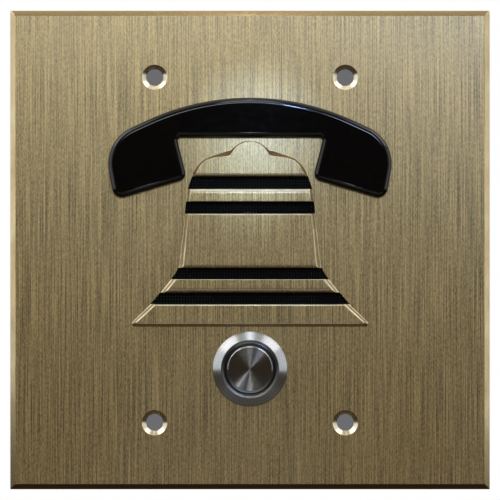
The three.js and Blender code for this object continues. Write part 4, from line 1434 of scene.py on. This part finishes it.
def control_chip():
    """A fourteen-leg chip, moulded in two halves, with its legs bent down to the board."""
    box = Box("control_chip")
    x0, x1, z0, z1 = 2, 21, 26, 32.4
    parting, bottom, top = 12.85, box.y0 + 0.5, box.y1

    def section(by, y):
        return rectangle(x0 + by, x1 - by, z0 + by, z1 - by, 0.12, 2), y

    body = loft("chip", [section(0.22, bottom), section(0, parting - 0.12), section(0, parting + 0.12),
                         section(0.25, top - 0.05), section(0.3, top)])
    carve(body, [cylinder(0.85, top - 0.35, top + 1, x0 + 0.25, (z0 + z1) / 2),
                 cylinder(0.4, top - 0.1, top + 1, x0 + 1.6, z0 + 1.3)])
    parts = [painted(body, CHIP_BLACK)]
    for k in range(7):
        x = 11.5 + (k - 3) * LEG_PITCH
        for side, edge in ((-1, z0), (1, z1)):
            root, inner, outer = edge - side * 0.2, edge + side * 0.45, edge + side * 0.7
            shoulder = [
                (parting + 0.12, root), (parting + 0.12, inner), (parting, outer), (11.7, outer),
                (11.7, inner), (parting - 0.13, inner), (parting - 0.13, root),
            ]
            leg = [(11.75, outer), (11.75, inner), (box.y0, inner), (box.y0, outer)]
            parts.append(painted(bar("shoulder", shoulder, x - 0.45, x + 0.45), TINNED))
            parts.append(painted(bar("leg", leg, x - 0.24, x + 0.24), TINNED))
    place(merged("control_chip_moulded", parts), "control_chip", crease=30)


def trimmer():
    box, dial = Box("trimmer_body"), Box("trimmer_rotor")
    back = box.y1
    body = block("trimmer_case", box.low, box.high, 0.3)
    body = carve(body, [cylinder(2.42, back - 1.2, back + 1, dial.x, dial.z, 64)])
    place(painted(body, TRIMMER_BLUE), "trimmer_body", crease=30)
    rotor = turned("trimmer_dial", [(0, dial.y0), (2.3, dial.y0), (2.3, dial.y1, 0.12), (0, dial.y1)],
                   dial.x, dial.z, 64)
    slots = [
        block("slot", (dial.x - 0.35, dial.y1 - 0.85, dial.z - 1.7),
              (dial.x + 0.35, dial.y1 + 1, dial.z + 1.7), 0.1),
        block("arrow", (dial.x - 0.9, dial.y1 - 0.3, dial.z + 0.9),
              (dial.x + 0.9, dial.y1 + 1, dial.z + 1.3), 0.1),
    ]
    place(painted(carve(rotor, slots), ROTOR_WHITE), "trimmer_rotor", crease=30)


# ---------------------------------------------------------------- leads
SPEAKER_LEAD = (
    (3, 3.3, 23.6), (3.1, 5, 22.2), (3.2, 6.5, 19.8), (3.3, 8.6, 18), (3.4, 10.6, 17.75), (3.8, 12.6, 18.8),
    (4.6, 13.4, 20.8), (5.2, 12.6, 22.6), (5.4, 10.95, 23.1),
)
BUTTON_LEAD = (
    (3.5, 23.35, -28.6), (4, 24.9, -27.6), (6, 25.2, -23.6), (8.4, 21.5, -18.8), (9.6, 15.5, -16.2),
    (9.8, 10.95, -15.6),
)


LEAD_RADIUS = 0.62
STRANDS_RADIUS = 0.36


def bared(end, inner, beyond):
    """A wire's strands, from inside the insulation at its end to a little beyond it."""
    along = (inner - end).normalized()
    points = [end + along * 0.4, end, end - along * beyond]
    return painted(sweep("strands", points, STRANDS_RADIUS, sides=10, samples=3), TINNED)


def lead(name, node, route, side, finish):
    """An insulated wire, with its bared and tinned ends."""
    points = [Vector((side * x, y, z)) for x, y, z in route]
    wire = painted(sweep("insulation", points, LEAD_RADIUS, sides=14, samples=8), finish)
    ends = [bared(points[0], points[1], 0.35), bared(points[-1], points[-2], 0.25)]
    place(merged(name, [wire, *ends]), node, crease=50)


# ---------------------------------------------------------------- building
face_plate()
wall_gasket()
handset_inlay()
for side in ("left", "right", "top"):
    push_nut(side)
grille_mesh()
speaker_gasket()
speaker_frame()
speaker_surround()
speaker_moving_parts()
speaker_spider()
speaker_motor()
speaker_terminal_strip()
for side in ("left", "right"):
    speaker_fixing(side)
button_head()
button_lock_nut()
button_plunger()
button_return_spring()
button_contact_bridge()
button_switch_base()
for side in ("left", "right"):
    button_terminal(side)
circuit_board()
for i in range(1, 5):
    board_fixing(i)
microphone()
terminal_block()
for i in (1, 2):
    terminal_pole(i)
audio_transformer()
capacitor("capacitor_large")
capacitor("capacitor_small")
control_chip()
trimmer()
lead("speaker_lead_red_wire", "speaker_lead_red", SPEAKER_LEAD, -1, LEAD_RED)
lead("speaker_lead_black_wire", "speaker_lead_black", SPEAKER_LEAD, 1, LEAD_BLACK)
lead("button_lead_left_wire", "button_lead_1", BUTTON_LEAD, -1, LEAD_WHITE)
lead("button_lead_right_wire", "button_lead_2", BUTTON_LEAD, 1, LEAD_WHITE)


# ---------------------------------------------------------------- camera, floor and light, in metres
CAMERA_DISTANCE = 0.7
PICTURE_WIDTH = 0.12062
SENSOR = 36
FLOOR_HALF = 0.4
FLOOR_HEIGHT = -0.2
# Glowing cards of painted shade behind the screw holes, like SCREW_PLACES, in millimetres
SHADE_CARD_HALF = 4.5
SHADE_CARD_Y = -0.6
UNIT_SQUARE = ((-1, -1), (1, -1), (1, 1), (-1, 1))


def aimed(obj, target):
    """Turns a lamp or a camera towards a point."""
    obj.rotation_euler = (Vector(target) - obj.location).to_track_quat("-Z", "Y").to_euler()
    return obj


def add_camera():
    camera = bpy.data.cameras.new("camera")
    camera.sensor_width = SENSOR
    distance = CAMERA_DISTANCE + PLATE_FRONT * 0.001
    camera.lens = SENSOR * distance / PICTURE_WIDTH
    camera.clip_start = 0.01
    camera.clip_end = 20
    obj = linked("camera", camera)
    obj.location = (0, -CAMERA_DISTANCE, 0)
    aimed(obj, (0, 0, 0))
    bpy.context.scene.camera = obj


def add_floor():
    """A pale, faintly mottled floor below the panel."""
    points = [Vector((x * FLOOR_HALF, y * FLOOR_HALF, FLOOR_HEIGHT)) * 1000 for x, y in UNIT_SQUARE]
    floor = mesh_object("floor", points, [(0, 1, 2, 3)])
    finish = Finish("floor_paint", (0.8, 0.8, 0.79), 0.6)
    mottle = finish.noise(30, detail=3)
    finish.color(finish.mix(mottle, (0.8, 0.8, 0.79), (0.74, 0.74, 0.73)))
    painted(floor, finish.material)
    floor.visible_glossy = False


def add_painted_shade_cards():
    """Glowing grey cards behind the screw holes, a painted shade seen through them. From behind they're
    clear.
    """
    points, faces = [], []
    for x, z in SCREW_PLACES:
        faces.append(tuple(range(len(points), len(points) + 4)))
        points += [Vector((x + dx * SHADE_CARD_HALF, SHADE_CARD_Y, z + dz * SHADE_CARD_HALF)) for dx, dz in UNIT_SQUARE]
    cards = mesh_object("painted_shade_cards", points, faces)
    material = bpy.data.materials.new("painted_shade_grey")
    material.use_nodes = True
    tree = material.node_tree
    tree.nodes.clear()
    # The grey glow is painted shade.
    shade_glow = tree.nodes.new("ShaderNodeEmission")
    shade_glow.inputs["Color"].default_value = (0.15, 0.15, 0.16, 1)
    choice = tree.nodes.new("ShaderNodeMixShader")
    tree.links.new(tree.nodes.new("ShaderNodeNewGeometry").outputs["Backfacing"], choice.inputs["Fac"])
    tree.links.new(shade_glow.outputs[0], choice.inputs[1])
    tree.links.new(tree.nodes.new("ShaderNodeBsdfTransparent").outputs[0], choice.inputs[2])
    tree.links.new(choice.outputs[0], tree.nodes.new("ShaderNodeOutputMaterial").inputs["Surface"])
    painted(cards, material)
    cards.visible_diffuse = cards.visible_glossy = cards.visible_shadow = False


def add_world():
    """White to the camera. To the object it is bright above and dim below."""
    world = bpy.data.worlds.new("studio")
    world.use_nodes = True
    bpy.context.scene.world = world
    tree = world.node_tree
    tree.nodes.clear()

    def node(kind, **values):
        made = tree.nodes.new(kind)
        for socket, value in values.items():
            made.inputs[socket.replace("_", " ")].default_value = value
        return made

    direction = node("ShaderNodeTexCoord").outputs["Generated"]
    parts = node("ShaderNodeSeparateXYZ")
    tree.links.new(direction, parts.inputs[0])
    height = node("ShaderNodeMapRange", From_Min=-1)
    tree.links.new(parts.outputs["Z"], height.inputs["Value"])
    ramp = tree.nodes.new("ShaderNodeValToRGB")
    ramp.color_ramp.interpolation = "EASE"
    stops = ramp.color_ramp.elements
    stops[0].position, stops[0].color = 0.3, (0.035, 0.024, 0.016, 1)
    stops[1].position, stops[1].color = 0.95, (0.4, 0.36, 0.29, 1)
    for position, color in ((0.56, (0.042, 0.032, 0.023, 1)), (0.75, (0.18, 0.145, 0.105, 1))):
        stops.new(position).color = color
    tree.links.new(height.outputs["Result"], ramp.inputs["Fac"])
    lit = node("ShaderNodeBackground")
    tree.links.new(ramp.outputs["Color"], lit.inputs["Color"])

    seen = node("ShaderNodeBackground", Color=(1, 1, 1, 1))
    path = node("ShaderNodeLightPath")
    choice = node("ShaderNodeMixShader")
    tree.links.new(path.outputs["Is Camera Ray"], choice.inputs["Fac"])
    tree.links.new(lit.outputs[0], choice.inputs[1])
    tree.links.new(seen.outputs[0], choice.inputs[2])
    tree.links.new(choice.outputs[0], node("ShaderNodeOutputWorld").inputs["Surface"])


def add_light(name, kind, location, target, power, color):
    light = bpy.data.lights.new(name, kind)
    light.energy = power
    light.color = color
    obj = linked(name, light)
    obj.location = location
    aimed(obj, target)
    return light


def softbox(name, location, target, width, height, radiance, color=(1, 1, 1)):
    """A rectangular light, as bright as a surface of this radiance."""
    light = add_light(name, "AREA", location, target, radiance * math.pi * width * height, color)
    light.shape = "RECTANGLE"
    light.size, light.size_y = width, height


def spot(name, location, target, radius, power, color):
    """A soft pool of light of this radius at the target."""
    light = add_light(name, "SPOT", location, target, power, color)
    light.spot_size = 2 * math.atan(radius / (Vector(target) - Vector(location)).length)
    light.spot_blend = 0.7
    light.shadow_soft_size = 0.01


add_camera()
add_floor()
# Painted shade seen through the screw holes.
add_painted_shade_cards()
add_world()
softbox("window", (-0.06, -0.66, 0.16), (0, 0, 0.05), 0.16, 0.09, 6.6, (0.9, 1, 1.04))
softbox("window_right", (0.12, -0.66, 0.16), (0, 0, 0.05), 0.1, 0.09, 16.5, (0.56, 0.73, 1.07))
softbox("tube", (0, -0.6, -0.1265), (0, 0, -0.0286), 0.004, 0.016, 45)
softbox("tube_low", (-0.036, -0.6, -0.101), (0, 0, -0.0286), 0.006, 0.006, 50)
softbox("front_left", (-0.38, -0.38, 0.06), (0, 0, 0), 0.12, 0.3, 0.9, (1, 0.93, 0.7))
softbox("front_right", (0.38, -0.38, 0.06), (0, 0, 0), 0.12, 0.3, 0.5, (1, 0.93, 0.7))
softbox("upper", (0, -0.33, 0.36), (0, 0, 0), 0.1, 0.26, 2.6, (0.85, 1, 1.15))
softbox("upper_left", (-0.35, -0.11, 0.35), (0, 0, 0), 0.34, 0.3, 2.6, (0.96, 0.98, 1.03))
softbox("upper_right", (0.35, -0.11, 0.35), (0, 0, 0), 0.34, 0.3, 2.3, (0.96, 0.98, 1.03))
softbox("left", (-0.44, -0.1, 0.08), (0, 0, 0), 0.3, 0.28, 1.25, (0.9, 1, 1.1))
softbox("right", (0.44, -0.1, 0.06), (0, 0, 0), 0.3, 0.28, 1.1, (0.9, 1, 1.1))
softbox("overhead_strip", (0, -0.19, 0.46), (0, 0, 0), 0.012, 0.1, 5)
softbox("overhead", (0, -0.01, 0.5), (0, 0, 0), 0.6, 0.2, 0.9, (0.9, 1, 1.1))
softbox("below", (0, -0.25, -0.19), (0, 0, 0), 0.5, 0.2, 0.24)
softbox("behind", (0.15, 0.5, 0.35), (0, 0, 0), 0.4, 0.3, 8)
softbox("behind_left", (-0.4, 0.45, 0.12), (0, 0, 0), 0.3, 0.4, 5)
spot("under_handset", (0.03, -0.6, 0.13), (0.001, 0, 0.0252), 0.0142, 4.2, (0.4, 0.64, 1.12))
spot("band", (0.0, -0.6, 0.13), (0, 0, 0.0128), 0.0065, 2.6, (0.5, 0.8, 1))
bpy.context.scene.view_settings.view_transform = "Standard"


def corners(bounds):
    return [[float(value) for value in corner] for corner in bounds]
